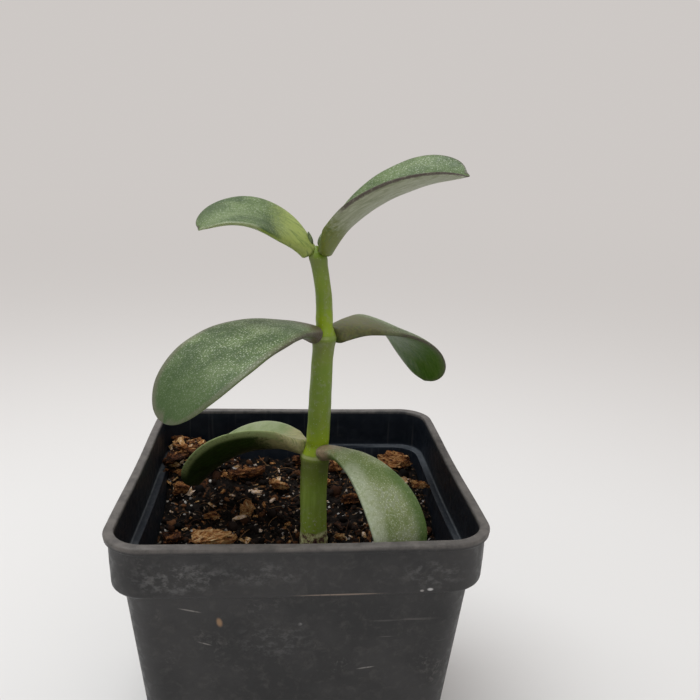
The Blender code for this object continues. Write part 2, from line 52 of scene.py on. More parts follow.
# The pot, as the frame has it
LIP_HALF = 44.5 * MM
POT_HEIGHT = 84.0 * MM
LIP_HEIGHT = 1.6 * MM
LIP_OVERHANG = 0.9 * MM
BAND_HEIGHT = 13.4 * MM
BAND_TAPER = 0.3 * MM
BAND_STEP = 2.4 * MM
BODY_TAPER = 6.7 * MM
LIP_CORNER = 10.0 * MM
BODY_CORNER = 8.0 * MM
BASE_CORNER = 6.5 * MM
BODY_WALL = 1.0 * MM
BAND_WALL = 1.2 * MM
FLOOR_THICKNESS = 1.6 * MM
DRAIN_RADIUS = 3.5 * MM
DRAIN_SPACING = 40.0 * MM
WALL_BOW = 0.14 * MM
RIM_WAVE = 0.16 * MM

BAND_HALF = LIP_HALF - LIP_OVERHANG
BODY_TOP = POT_HEIGHT - BAND_HEIGHT
BODY_TOP_HALF = BAND_HALF - BAND_TAPER - BAND_STEP
BASE_HALF = BODY_TOP_HALF - BODY_TAPER
LEDGE_TOP = BODY_TOP + BODY_WALL

# The soil and what lies loose on it
SOIL_LEVEL = 62.0 * MM
SOIL_HALF = 38.8 * MM
SOIL_GAP = 0.3 * MM
BACK_RISE = 5.5 * MM
HEAP_HEIGHT = 5.0 * MM
HEAP_RADIUS = 15.0 * MM
SIDE_HEAP_HEIGHT = 2.5 * MM
SIDE_HEAP_RADIUS = 12.0 * MM
MOUND_HEIGHT = 3.4 * MM
MOUND_PLACE = 35.0 * MM
MOUND_RADIUS = 8.0 * MM
SOIL_GRID = 270
CRUMB_COUNT = 1500
SHARD_COUNT = 900
FIBRE_COUNT = 260
FIBRE_RADIUS = 0.022

# The stem: (x, y, height above the soil, radius) in mm, the planted end first
STEM_X, STEM_Y = 4.5, -7.0
LOWER_NODE, MIDDLE_NODE, TOP_NODE = 27.0, 59.5, 80.3
STEM = [
    (STEM_X, STEM_Y, -9.0, 3.6),
    (STEM_X - 0.1, STEM_Y, 2.7, 3.6),
    (STEM_X - 0.4, STEM_Y, 14.8, 3.6),
    (STEM_X - 0.2, STEM_Y, LOWER_NODE - 1.0, 3.64),
    (STEM_X + 0.4, STEM_Y, LOWER_NODE + 4.5, 3.1),
    (STEM_X + 0.8, STEM_Y, LOWER_NODE + 16.0, 2.95),
    (STEM_X + 1.1, STEM_Y, MIDDLE_NODE - 6.0, 2.77),
    (STEM_X + 1.4, STEM_Y, MIDDLE_NODE - 0.5, 2.8),
    (STEM_X + 1.4, STEM_Y, MIDDLE_NODE + 4.5, 2.27),
    (STEM_X + 1.2, STEM_Y, MIDDLE_NODE + 10.0, 2.1),
    (STEM_X + 0.5, STEM_Y, TOP_NODE - 5.5, 2.06),
    (STEM_X - 0.5, STEM_Y, TOP_NODE, 2.06),
    (STEM_X - 0.9, STEM_Y, TOP_NODE + 1.5, 1.6),
    (STEM_X - 1.3, STEM_Y, TOP_NODE + 3.0, 0.7),
]
STEM_RINGS = 190
STEM_SIDES = 48

# The leaves, by the frame's own sizes but for the middle right one, which starts flatter and
# has a wider petiole. Angles in degrees at the petiole and at the tip, lengths in mm.
LEAVES = {
    "leaf_lower_left": dict(
        node=LOWER_NODE, azimuth=(148, 149), rise=(2, -58), roll=(-23, 13), bend=1.0,
        length=44.0, width=23.5, channel=0.47, widest=0.57, petiole=0.25, fullness=0.9,
        lift=1.9, offset=2.2, root=4.4, point=0.3),
    "leaf_lower_right": dict(
        node=LOWER_NODE, azimuth=(-50, -62), rise=(26, -86), roll=(4, 9), bend=1.0,
        length=None, width=18.0, channel=0.10, widest=0.75, petiole=0.25, fullness=1.5,
        lift=1.5, offset=1.9, root=4.4, point=0.5),
    "leaf_middle_left": dict(
        node=MIDDLE_NODE, azimuth=(226, 222), rise=(28, -55), roll=(6, -4), bend=1.0,
        length=52.0, width=26.0, channel=0.03, widest=0.65, petiole=0.17, fullness=1.1,
        lift=1.2, offset=2.6, root=4.7, point=0.0),
    "leaf_middle_right": dict(
        node=MIDDLE_NODE, azimuth=(39, 48), rise=(9, -71), roll=(-8, -8), bend=1.25,
        length=52.0, width=23.0, channel=0.04, widest=0.65, petiole=0.30, fullness=1.5,
        lift=0.6, offset=2.6, root=4.7, point=0.2),
    "leaf_top_left": dict(
        node=TOP_NODE, azimuth=(184, 208), rise=(52, -34), roll=(45, 0), bend=1.2,
        length=31.0, width=19.5, channel=0.10, widest=0.62, petiole=0.22, fullness=1.5,
        lift=0.8, offset=1.9, root=4.0, point=0.5),
    "leaf_top_right": dict(
        node=TOP_NODE, azimuth=(-17, -20), rise=(60, 3), roll=(-4, -16), bend=0.95,
        length=41.0, width=21.0, channel=0.41, widest=0.56, petiole=0.31, fullness=0.65,
        lift=1.0, offset=1.2, root=4.0, point=0.7),
}
BLADE_THICKNESS = 3.2
PETIOLE_SHARE = 0.22
CAP_SHARE = 0.03
CHANNEL_START = 0.15
TIP_POWER = 2.3
TIP_ROOM = 4.6
LINE_STEPS = 60
LEAF_SIDES = 56
LEAF_RINGS = 96
BUD_RADIUS, BUD_LENGTH, BUD_LEAN = 0.78, 3.6, 12.0

# Colours, linear. The pot:
PLASTIC = ((0.017, 0.0172, 0.018), (0.030, 0.0295, 0.030))
FINE_DUST = (0.060, 0.058, 0.057)
SCUFF = (0.11, 0.105, 0.10)
SMEAR = (0.165, 0.165, 0.165)
SCRATCH = (0.13, 0.12, 0.115)
# Painted shade that darkens the pot's inside, and a blue tint painted on the inside's reflections
INSIDE_PAINTED_SHADE = (0.0012, 0.0030, 0.0075)
INSIDE_SHINE = (0.62, 0.80, 1.0)
WATER_STREAK = (0.05, 0.05, 0.052)
# A paler band along the rim's top: dust and painted highlight
RIM_DUST_AND_HIGHLIGHT = (0.125, 0.115, 0.107)
LEDGE_DUST = (0.075, 0.082, 0.092)

# The soil and the bark; tones are (position, colour) along a ramp
PEAT = ((0.0012, 0.001, 0.001), (0.0095, 0.006, 0.0042))
COIR = ((0.035, 0.016, 0.008), (0.20, 0.11, 0.05))
GRAIN_TONES = ((0.0, (0.030, 0.014, 0.008)), (0.45, (0.11, 0.05, 0.022)),
               (0.75, (0.22, 0.15, 0.09)), (0.95, (0.42, 0.40, 0.38)))
SHARD_TONES = ((0.10, (0.010, 0.006, 0.004)), (0.38, (0.075, 0.028, 0.012)),
               (0.60, (0.28, 0.115, 0.035)), (0.80, (0.48, 0.30, 0.12)),
               (0.98, (0.60, 0.48, 0.40)))
BARK_TONES = ((0.34, (0.012, 0.006, 0.004)), (0.44, (0.075, 0.026, 0.012)),
              (0.53, (0.30, 0.12, 0.038)), (0.60, (0.46, 0.26, 0.10)), (0.72, (0.60, 0.45, 0.26)))
BARK_PIT = (0.010, 0.006, 0.005)
BARK_STRAW = (0.62, 0.50, 0.36)

# The stem
STEM_GREEN = (0.135, 0.218, 0.017)
STEM_LIGHT = (0.170, 0.235, 0.025)
STEM_LIME = (0.250, 0.360, 0.006)
STEM_GREY = (0.135, 0.155, 0.055)
STEM_STREAK = (0.20, 0.24, 0.085)
STEM_FLECK = (0.42, 0.47, 0.30)
STEM_WORN = (0.24, 0.26, 0.15)
JOINT_RING = (0.34, 0.38, 0.16)
# Painted light: the stem's foot brightened where the pot shades it
FOOT_PAINTED_LIGHT = (0.330, 0.475, 0.095)
FOOT_PALE = (0.55, 0.57, 0.38)
CORK_TONES = ((0.32, (0.045, 0.018, 0.032)), (0.44, (0.16, 0.10, 0.07)),
              (0.50, (0.50, 0.52, 0.24)), (0.66, (0.78, 0.78, 0.50)))

# The leaves
LEAF_GREEN = (0.075, 0.135, 0.028)
LEAF_DARK = (0.026, 0.060, 0.010)
LEAF_BLOOM = (0.220, 0.255, 0.160)
LEAF_DOT = (0.58, 0.63, 0.52)
LEAF_LIME = (0.17, 0.21, 0.030)
UNDER_GREEN = ((0.055, 0.105, 0.018), (0.105, 0.165, 0.045))
# Painted shade: a nearly black underside for the lower left leaf, which hangs in shade over the soil
UNDER_PAINTED_SHADE = ((0.004, 0.014, 0.001), (0.016, 0.040, 0.004))
# Wax bloom and painted sheen: a pale grey underside, brightened as if lit from the floor
UNDER_BLOOM_AND_PAINTED_SHEEN = ((0.22, 0.245, 0.15), (0.34, 0.36, 0.26))
UNDER_VIVID = ((0.045, 0.130, 0.006), (0.100, 0.190, 0.028))
UNDER_LIME = ((0.15, 0.22, 0.022), (0.22, 0.28, 0.05))
PURPLE = (0.050, 0.028, 0.030)
PURPLE_GREY = (0.085, 0.075, 0.065)
PALE_RIM = (0.27, 0.31, 0.19)
PETIOLE_BROWN = (0.12, 0.085, 0.055)
PETIOLE_WEAR = (0.050, 0.045, 0.028)
BUD_GREENS = ((0.075, 0.105, 0.050), (0.17, 0.22, 0.10))


# ---------------------------------------------------------------- nodes

class Finish:
    """One material, and short calls for the nodes that make it."""

    def __init__(self, name, roughness=0.5, **sockets):
        self.material = bpy.data.materials.new(name)
        self.material.use_nodes = True
        self.tree = self.material.node_tree
        self.shader = self.tree.nodes["Principled BSDF"]
        self.shader.inputs["Roughness"].default_value = roughness
        for socket, value in sockets.items():
            self.shader.inputs[socket.replace("_", " ")].default_value = value

    def put(self, socket, value):
        """Join a node to a socket, or set the socket's own value."""
        if isinstance(value, bpy.types.NodeSocket):
            self.tree.links.new(value, socket)
        elif socket.type == 'RGBA':
            socket.default_value = (*value, 1.0)
        else:
            socket.default_value = value

    def add(self, kind, inputs, **settings):
        made = self.tree.nodes.new(kind)
        for name, value in settings.items():
            setattr(made, name, value)
        for socket, value in inputs.items():
            self.put(made.inputs[socket], value)
        return made

    def place(self):
        return self.add("ShaderNodeTexCoord", {}).outputs["Object"]

    def painted(self, name, output="Fac"):
        """A value stored on the mesh."""
        return self.add("ShaderNodeAttribute", {}, attribute_name=name).outputs[output]

    def stretch(self, vector, scale, turn=(0.0, 0.0, 0.0)):
        inputs = {"Vector": vector, "Scale": scale, "Rotation": turn}
        return self.add("ShaderNodeMapping", inputs).outputs["Vector"]

    def cloud(self, vector, scale, detail=3.0, roughness=0.5, distortion=0.0):
        inputs = {"Vector": vector, "Scale": scale, "Detail": detail, "Roughness": roughness,
                  "Distortion": distortion}
        return self.add("ShaderNodeTexNoise", inputs).outputs["Fac"]

    def cells(self, vector, scale, dimensions='3D'):
        """Distance from the middle of the nearest scattered cell, and that cell's two chances."""
        cell = self.add("ShaderNodeTexVoronoi", {"Vector": vector, "Scale": scale},
                        voronoi_dimensions=dimensions)
        chances = self.add("ShaderNodeSeparateColor", {0: cell.outputs["Color"]})
        return cell.outputs["Distance"], chances.outputs[0], chances.outputs[1]

    def ease(self, value, low, high, start=0.0, end=1.0):
        """Value between low and high, eased into start to end."""
        inputs = {"Value": value, "From Min": low, "From Max": high, "To Min": start, "To Max": end}
        return self.add("ShaderNodeMapRange", inputs,
                        interpolation_type='SMOOTHSTEP').outputs["Result"]

    def work(self, operation, first, second=0.0):
        return self.add("ShaderNodeMath", {0: first, 1: second}, operation=operation).outputs[0]

    def times(self, product, *others):
        for value in others:
            product = self.work('MULTIPLY', product, value)
        return product

    def roughen(self, value, texture, amount):
        """Value moved up or down by a texture, by at most the amount."""
        return self.work('ADD', value, self.ease(texture, 0.2, 0.8, -amount, amount))

    def patch(self, place, centre, reach, turn=0.0):
        """1 in the middle of a round or long patch, 0 outside it; sizes in mm, turned about Y."""
        moved = self.add("ShaderNodeVectorMath", {0: place, 1: [value * MM for value in centre]},
                         operation='SUBTRACT').outputs[0]
        turned = self.stretch(moved, (1.0, 1.0, 1.0), (0.0, math.radians(turn), 0.0))
        scaled = self.stretch(turned, [1.0 / (value * MM) for value in reach])
        length = self.add("ShaderNodeVectorMath", {0: scaled}, operation='LENGTH')
        return self.ease(length.outputs["Value"], 1.0, 0.35)

    def mix(self, share, first, second):
        inputs = {0: share, 6: first, 7: second}
        return self.add("ShaderNodeMix", inputs, data_type='RGBA').outputs[2]

    def over(self, colour, tint, *shares):
        """A tint laid over a colour, as strongly as the product of its shares."""
        return self.mix(self.times(*shares), colour, tint)

    def ramp(self, value, stops):
        """Colours along a value: (position, colour) pairs."""
        made = self.add("ShaderNodeValToRGB", {0: value})
        points = made.color_ramp.elements
        for number, (position, colour) in enumerate(stops):
            point = points[number] if number < 2 else points.new(position)
            point.position = position
            point.color = (*colour, 1.0)
        return made.outputs["Color"]

    def bump(self, height, depth, before=None):
        inputs = {"Height": height, "Distance": depth, "Strength": 1.0}
        if before is not None:
            inputs["Normal"] = before
        return self.add("ShaderNodeBump", inputs).outputs["Normal"]

    def done(self, colour, roughness=None, normal=None):
        for socket, value in (("Base Color", colour), ("Roughness", roughness), ("Normal", normal)):
            if value is not None:
                self.put(self.shader.inputs[socket], value)
        return self.material


# ---------------------------------------------------------------- pieces

def mesh_from(bm, name):
    mesh = bpy.data.meshes.new(name)
    bm.to_mesh(mesh)
    bm.free()
    return mesh


def into_scene(name, data):
    made = bpy.data.objects.new(name, data)
    bpy.context.scene.collection.objects.link(made)
    return made


def make_piece(name, bm, finish, nodes=(), sharp=None):
    """An object from a finished bmesh, riding on the body and standing for its CAD nodes.

    Its faces are smooth, but for edges that bend by more than the angle sharp, in degrees.
    """
    mesh = mesh_from(bm, name)
    mesh.materials.append(finish)
    mesh.shade_smooth()
    if sharp is not None:
        mesh.set_sharp_from_angle(angle=math.radians(sharp))
    piece = into_scene(name, mesh)
    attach(piece, "root")
    if nodes:
        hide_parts(*nodes)
    return piece


def subdivide_surface(piece):
    surface = piece.modifiers.new("smooth", 'SUBSURF')
    surface.levels = 1
    surface.render_levels = 1


def points_in(result):
    """The new vertices that an extrusion made."""
    return [item for item in result["geom"] if isinstance(item, bmesh.types.BMVert)]


def open_edges(bm):
    return [edge for edge in bm.edges if edge.is_boundary]


def ringed_tube(sides, cuts, far_end=1.0):
    """A closed tube one unit long on Z, cut into rings, to be drawn into a strand or a stem."""
    bm = bmesh.new()
    bmesh.ops.create_cone(bm, cap_ends=True, segments=sides, radius1=1.0, radius2=far_end,
                          depth=1.0)
    lengthwise = [edge for edge in bm.edges
                  if abs(edge.verts[0].co.z - edge.verts[1].co.z) > 0.5]
    bmesh.ops.subdivide_edges(bm, edges=lengthwise, cuts=cuts)
    return bm


def from_to(ends, share):
    return ends[0] + (ends[1] - ends[0]) * share


def smooth_step(value):
    value = min(max(value, 0.0), 1.0)
    return value * value * (3.0 - 2.0 * value)


def bell(distance, width):
    return math.exp(-(distance / width) ** 2)


# ---------------------------------------------------------------- pot

CORNER_STEPS = 14
SIDE_STEPS = 12
RING_POINTS = 4 * (CORNER_STEPS + SIDE_STEPS)


def rounded_square(half, corner):
    """Points round a square with round corners, anticlockwise, evenly many on each side."""
    centre = half - corner
    points = []
    for quarter in range(4):
        turn = Matrix.Rotation(math.radians(90.0 * quarter), 2)
        for step in range(CORNER_STEPS):
            angle = math.radians(90.0) * step / CORNER_STEPS
            points.append(turn @ Vector((centre + corner * math.cos(angle),
                                         centre + corner * math.sin(angle))))
        for step in range(SIDE_STEPS):
            along = centre * (1 - 2 * step / SIDE_STEPS)
            points.append(turn @ Vector((along, half)))
    return points


def body_half(z):
    return BASE_HALF + BODY_TAPER * z / BODY_TOP


def body_corner(z):
    return BASE_CORNER + (BODY_CORNER - BASE_CORNER) * z / BODY_TOP


def round_edge(half, corner, z, radius, start, steps=5):
    """Rings round a quarter-round edge about (half, z), from the angle start in degrees."""
    rings = []
    for step in range(steps + 1):
        angle = math.radians(start + 90.0 * step / steps)
        rings.append((half + radius * math.cos(angle), corner + radius * math.cos(angle),
                      z + radius * math.sin(angle)))
    return rings


def floor_rings(z):
    return [(0.25 * BASE_HALF, 0.2 * BASE_HALF, z), (0.7 * BASE_HALF, 0.3 * BASE_HALF, z)]


def pot_profile():
    """(half width, corner radius, height) from the middle of the base, up outside, down inside."""
    edge = 1.0 * MM
    lip = 0.55 * MM
    wall_half = BAND_HALF - BAND_TAPER
    band_corner = LIP_CORNER - LIP_OVERHANG
    lip_bottom = POT_HEIGHT - LIP_HEIGHT
    inner_half = wall_half - BAND_WALL
    inner_corner = band_corner - BAND_WALL
    profile = floor_rings(0.0)
    profile += round_edge(BASE_HALF - edge, BASE_CORNER - edge, edge, edge, -90.0)
    for share in (0.12, 0.3, 0.5, 0.7, 0.88, 1.0):
        z = share * (BODY_TOP - 0.6 * MM)
        profile.append((body_half(z), body_corner(z), z))
    profile.append((BODY_TOP_HALF + 0.25 * MM, BODY_CORNER + 0.2 * MM, BODY_TOP))
    profile += round_edge(wall_half - edge, band_corner - edge, BODY_TOP + edge, edge, -90.0)
    profile.append((wall_half + 0.5 * BAND_TAPER, band_corner, 0.5 * (BODY_TOP + lip_bottom)))
    profile.append((BAND_HALF - 0.1 * MM, band_corner, lip_bottom - 0.9 * MM))
    profile.append((BAND_HALF + 0.1 * MM, band_corner + 0.1 * MM, lip_bottom - 0.3 * MM))
    profile.append((LIP_HALF - 0.15 * MM, LIP_CORNER - 0.15 * MM, lip_bottom + 0.1 * MM))
    profile += round_edge(LIP_HALF - lip, LIP_CORNER - lip, POT_HEIGHT - lip, lip, 0.0)
    profile += round_edge(inner_half + lip, inner_corner + lip, POT_HEIGHT - lip, lip, 90.0)
    for share in (0.3, 0.6, 0.9):
        z = POT_HEIGHT + share * (LEDGE_TOP - POT_HEIGHT)
        profile.append((inner_half, inner_corner, z))
    fillet = 0.5 * MM
    for angle in (20, 45, 70, 90):
        turn = math.radians(angle)
        inset = fillet * (1 - math.cos(turn))
        profile.append((inner_half - inset, inner_corner - inset,
                        LEDGE_TOP + fillet * (1 - math.sin(turn))))
    ledge_inner = body_half(LEDGE_TOP) - BODY_WALL
    for drop, out in ((0.0, 0.35), (0.1, 0.1), (0.4, 0.0)):
        profile.append((ledge_inner + out * MM, body_corner(LEDGE_TOP) - BODY_WALL + out * MM,
                        LEDGE_TOP - drop * MM))
    for z in (58 * MM, 40 * MM, 20 * MM, FLOOR_THICKNESS):
        profile.append((body_half(z) - BODY_WALL, body_corner(z) - BODY_WALL, z))
    return profile + floor_rings(FLOOR_THICKNESS)[::-1]


def warp(x, y, z):
    """Thin plastic is never quite true: the walls bow and the rim waves a little."""
    lift = smooth_step((z - 0.5 * BODY_TOP) / (0.5 * BODY_TOP))
    bow = WALL_BOW * lift / LIP_HALF
    return Vector((x - bow * x * math.cos(1.5 * math.pi * y / LIP_HALF),
                   y + bow * y * math.cos(1.3 * math.pi * x / LIP_HALF),
                   z + RIM_WAVE * lift * math.sin(70.0 * x + 1.0) * math.cos(60.0 * y)))


def build_pot():
    """One ring of points, drawn along the profile from the base's middle to the floor's."""
    bm = bmesh.new()
    order = bm.verts.layers.int.new("order")
    inside = bm.verts.layers.float.new("inside")
    first = bmesh.ops.create_circle(bm, segments=RING_POINTS, radius=BASE_HALF)["verts"]
    for number, vert in enumerate(first):
        vert[order] = number
    ring = set(first)
    inner = False
    height = 0.0
    for number, (half, corner, z) in enumerate(pot_profile()):
        if number:
            loop = [edge for edge in bm.edges if ring.issuperset(edge.verts)]
            ring = set(points_in(bmesh.ops.extrude_edge_only(bm, edges=loop)))
            inner = inner or z < height - 0.1 * MM
        height = z
        points = rounded_square(half, corner)
        for vert in ring:
            spot = points[vert[order]]
            vert.co = warp(spot.x, spot.y, z)
            vert[inside] = float(inner)
    bmesh.ops.holes_fill(bm, edges=open_edges(bm), sides=0)
    bmesh.ops.recalc_face_normals(bm, faces=bm.faces)
    return make_piece("nursery_pot", bm, pot_plastic(), ["pot"], 40.0)


def cut_drain_holes(pot):
    bm = bmesh.new()
    for side_x in (-1, 1):
        for side_y in (-1, 1):
            spot = Vector((side_x, side_y, 0)) * DRAIN_SPACING / 2
            bmesh.ops.create_cone(bm, cap_ends=True, segments=32, radius1=DRAIN_RADIUS,
                                  radius2=DRAIN_RADIUS, depth=4 * FLOOR_THICKNESS,
                                  matrix=Matrix.Translation(spot))
    cutter = into_scene("drain_holes", mesh_from(bm, "drain_holes"))
    cut = pot.modifiers.new("drain_holes", 'BOOLEAN')
    cut.operation = 'DIFFERENCE'
    cut.object = cutter
    bpy.context.view_layer.update()
    graph = bpy.context.evaluated_depsgraph_get()
    finished = bpy.data.meshes.new_from_object(pot.evaluated_get(graph))
    pot.modifiers.clear()
    pot.data = finished
    bpy.data.objects.remove(cutter)


# Wear on the pot's sides, in mm: cloudy smears, patches of slanted scratches, and single marks.
PALE_SMEARS = [
    ((-27, -43, 76), (13, 6, 5.5), 0.50), ((-8, -43, 77), (14, 6, 4), 0.28),
    ((30, -43, 76), (10, 6, 5), 0.3), ((-6, -39, 57), (12, 6, 8), 0.22),
    ((43, 8, 76), (6, 16, 5), 0.4), ((-43, 12, 60), (6, 14, 10), 0.35),
    ((10, 43, 74), (18, 6, 6), 0.4), ((-14, 40, 40), (16, 6, 12), 0.3),
]
SCRATCHED = [
    ((-29, -40, 62), (7, 6, 6)), ((24, -40, 56), (14, 6, 9)), ((39, 6, 50), (6, 18, 12)),
    ((-38, -6, 40), (6, 16, 12)), ((6, 39, 55), (18, 6, 10)),
]
MARKS = [
    ((9, -43.2, 71.3), (12.5, 3.0, 0.28), 0.0, (0.20, 0.16, 0.13)),
    ((29.5, -43.4, 72.0), (0.9, 2.0, 0.5), 0.0, (0.42, 0.42, 0.42)),
    ((27.6, -43.4, 71.7), (0.6, 2.0, 0.4), 0.0, (0.28, 0.27, 0.26)),
    ((-18.5, -40.5, 62.5), (0.9, 2.5, 1.7), 12.0, (0.24, 0.15, 0.085)),
    ((16.0, -39.0, 47.8), (2.6, 3.0, 0.26), 8.0, (0.20, 0.19, 0.18)),
    ((-25.0, -40.5, 66.0), (3.4, 3.0, 0.26), -14.0, (0.17, 0.16, 0.15)),
    ((-22.0, -40.0, 56.5), (2.2, 3.0, 0.24), -20.0, (0.17, 0.16, 0.15)),
    ((0.0, -39.5, 61.5), (0.7, 2.5, 0.6), 0.0, (0.14, 0.14, 0.14)),
]


def pot_plastic():
    """Black plastic gone grey with dust: scuffs, scratches, water marks, a rim paler with dust and
    painted highlight, and an inside darkened with painted shade, its reflections tinted blue.
    """
    look = Finish("pot_plastic", roughness=0.5, Specular_IOR_Level=0.3)
    place = look.place()
    inside = look.painted("inside")
    broad = look.cloud(place, 55.0, 4.0, 0.6)
    fine = look.cloud(place, 420.0, 6.0, 0.65, 0.4)
    colour = look.mix(look.ease(broad, 0.35, 0.7), *PLASTIC)
    colour = look.over(colour, FINE_DUST, look.ease(fine, 0.45, 0.75), 0.6)
    colour = look.over(colour, SCUFF, look.ease(look.cloud(place, 95.0, 2.0), 0.55, 0.72),
                       look.ease(look.cloud(place, 900.0, 3.0, 0.7, 0.6), 0.50, 0.66), 0.4)
    cloudy = look.stretch(place, (420.0, 420.0, 620.0), (0.0, 0.3, 0.0))
    smeared = look.ease(look.cloud(cloudy, 1.0, 5.0, 0.7), 0.46, 0.66)
    for centre, reach, strength in PALE_SMEARS:
        colour = look.over(colour, SMEAR, look.patch(place, centre, reach), smeared, strength)
    slanted = look.stretch(place, (45.0, 45.0, 640.0), (0.0, 0.22, 0.0))
    lines = look.ease(look.cloud(slanted, 1.0, 2.0, 0.4), 0.66, 0.72)
    for centre, reach in SCRATCHED:
        colour = look.over(colour, SCRATCH, look.patch(place, centre, reach), lines, 0.8)
    broken = look.ease(fine, 0.35, 0.5, 0.3, 1.0)
    for centre, reach, turn, tint in MARKS:
        colour = look.over(colour, tint, look.patch(place, centre, reach, turn), broken)
    # Painted shade: the inside darkened nearly to black, and its reflections tinted blue
    colour = look.over(colour, INSIDE_PAINTED_SHADE, inside, 0.85)
    shine = look.mix(inside, (1.0, 1.0, 1.0), INSIDE_SHINE)
    look.put(look.shader.inputs["Specular Tint"], shine)
    streaks = look.cloud(look.stretch(place, (900.0, 900.0, 45.0)), 1.0, 3.0)
    colour = look.over(colour, WATER_STREAK, look.ease(streaks, 0.56, 0.72), inside, 0.3)
    height = look.add("ShaderNodeSeparateXYZ", {0: place}).outputs[2]
    dusty = look.ease(look.cloud(place, 260.0, 5.0, 0.7), 0.3, 0.65, 0.35, 0.9)
    # The rim's top edge paler: dust and painted highlight
    rim = look.ease(height, POT_HEIGHT - 1.3 * MM, POT_HEIGHT - 0.5 * MM)
    colour = look.over(colour, RIM_DUST_AND_HIGHLIGHT, rim, dusty)
    colour = look.over(colour, LEDGE_DUST, look.ease(height, LEDGE_TOP - 0.1 * MM, LEDGE_TOP),
                       look.ease(height, LEDGE_TOP + 0.6 * MM, LEDGE_TOP + 0.2 * MM), inside, dusty)
    normal = look.bump(look.cloud(place, 60.0, 2.0), 0.35 * MM, look.bump(fine, 0.06 * MM))
    return look.done(colour, look.ease(fine, 0.3, 0.7, 0.36, 0.62), normal)


# ---------------------------------------------------------------- soil

def inner_half(z):
    """Half the room inside the pot at height z."""
    if z > LEDGE_TOP:
        return BAND_HALF - BAND_TAPER - BAND_WALL
    return body_half(z) - BODY_WALL


def heap(x, y, centre_x, centre_y, radius):
    return smooth_step(1.0 - math.hypot(x - centre_x, y - centre_y) / (2 * radius))


def soil_surface(x, y):
    """Height of the smooth soil, as the frame has it."""
    back = smooth_step((y - STEM_Y * MM) / (SOIL_HALF - STEM_Y * MM))
    corner_heap = heap(x, y, -SOIL_HALF, SOIL_HALF, HEAP_RADIUS)
    side_heap = heap(x, y, SOIL_HALF, 0.25 * SOIL_HALF, SIDE_HEAP_RADIUS)
    ripple = 0.35 * MM * math.sin(x / (4.1 * MM)) * math.cos(y / (3.7 * MM))
    return (SOIL_LEVEL + BACK_RISE * back + HEAP_HEIGHT * corner_heap
            + SIDE_HEAP_HEIGHT * side_heap + ripple)


def lump(x, y, size):
    """A rounded crumb at each cell of a scattered pattern, 0 between them and 1 on top."""
    distances, _ = noise.voronoi(Vector((x / size, y / size, 0.37)))
    return max(1.0 - distances[0] * distances[0] * 1.9, 0.0)


def mound(x, y):
    """The loose heap of bark and coir against the back left corner."""
    return MOUND_HEIGHT * heap(x, y, -MOUND_PLACE, MOUND_PLACE, MOUND_RADIUS)


def rough_ground(x, y):
    """Height of the crumbly soil."""
    spot = Vector((x, y, 0.0))
    return (soil_surface(x, y) + mound(x, y)
            + 1.2 * MM * noise.noise(spot / (7.0 * MM))
            + 1.0 * MM * lump(x, y, 3.1 * MM)
            + 0.55 * MM * lump(x + 0.01, y, 1.5 * MM)
            + 0.28 * MM * noise.noise(spot / (0.7 * MM)) - 0.9 * MM)


def into_corner(x, y, half, corner):
    """Move a point of a square into the same square with round corners."""
    past_x = abs(x) - (half - corner)
    past_y = abs(y) - (half - corner)
    if past_x <= 0 or past_y <= 0:
        return x, y
    pull = max(past_x, past_y) / math.hypot(past_x, past_y)
    return (math.copysign(half - corner + past_x * pull, x),
            math.copysign(half - corner + past_y * pull, y))


def build_soil():
    bm = bmesh.new()
    bmesh.ops.create_grid(bm, x_segments=SOIL_GRID, y_segments=SOIL_GRID, size=1.0)
    corner = body_corner(SOIL_LEVEL) - BODY_WALL
    for vert in bm.verts:
        surface = soil_surface(vert.co.x * SOIL_HALF, vert.co.y * SOIL_HALF)
        half = min(inner_half(surface), inner_half(LEDGE_TOP)) - 0.1 * MM
        x, y = into_corner(vert.co.x * half, vert.co.y * half, half, corner)
        vert.co = (x, y, rough_ground(x, y))
    skirt = points_in(bmesh.ops.extrude_edge_only(bm, edges=open_edges(bm)))
    share = (inner_half(FLOOR_THICKNESS) - SOIL_GAP) / inner_half(SOIL_LEVEL)
    for vert in skirt:
        vert.co = (vert.co.x * share, vert.co.y * share, FLOOR_THICKNESS + SOIL_GAP)
    bmesh.ops.holes_fill(bm, edges=open_edges(bm), sides=0)
    bmesh.ops.recalc_face_normals(bm, faces=bm.faces)
    return make_piece("potting_mix", bm, soil_finish(), ["soil"])


def soil_finish():
    """Damp peat: nearly black, browner in cloudy patches, with dusty grains."""
    look = Finish("damp_peat", roughness=0.9, Specular_IOR_Level=0.12)
    place = look.place()
    clods = look.cloud(place, 330.0, 5.0, 0.7)
    colour = look.mix(look.ease(clods, 0.3, 0.75), *PEAT)
    _, chosen, tone = look.cells(place, 1500.0)
    colour = look.over(colour, look.ramp(tone, GRAIN_TONES), look.ease(chosen, 0.88, 0.90), 0.85)
    normal = look.bump(look.cloud(place, 1100.0, 6.0, 0.75), 0.35 * MM)
    return look.done(colour, look.ease(clods, 0.3, 0.7, 0.95, 0.7), normal)


def scatter_finish(name, dark, light):
    """Two tones for scattered bits, chosen by each bit's own shade."""
    look = Finish(name, roughness=0.85, Specular_IOR_Level=0.12)
    mottle = look.cloud(look.place(), 1300.0, 4.0, 0.7)
    shade = look.ease(look.roughen(look.painted("shade"), mottle, 0.2), 0.0, 1.0)
    return look.done(look.mix(shade, dark, light), None, look.bump(mottle, 0.2 * MM))


def shape_template(name, bm):
    """A small mesh to be copied many times, with a shade stored on its points."""
    mesh = mesh_from(bm, name)
    mesh.attributes.new("shade", 'FLOAT', 'POINT')
    return mesh


def crumb_templates(count=6):
    made = []
    for number in range(count):
        bm = bmesh.new()
        bmesh.ops.create_uvsphere(bm, u_segments=7, v_segments=5, radius=1.0)
        for vert in bm.verts:
            vert.co *= 1.0 + 0.42 * noise.noise(vert.co * 1.6 + Vector((7.3 * number, 0, 0)))
        made.append(shape_template(f"crumb_{number}", bm))
    return made


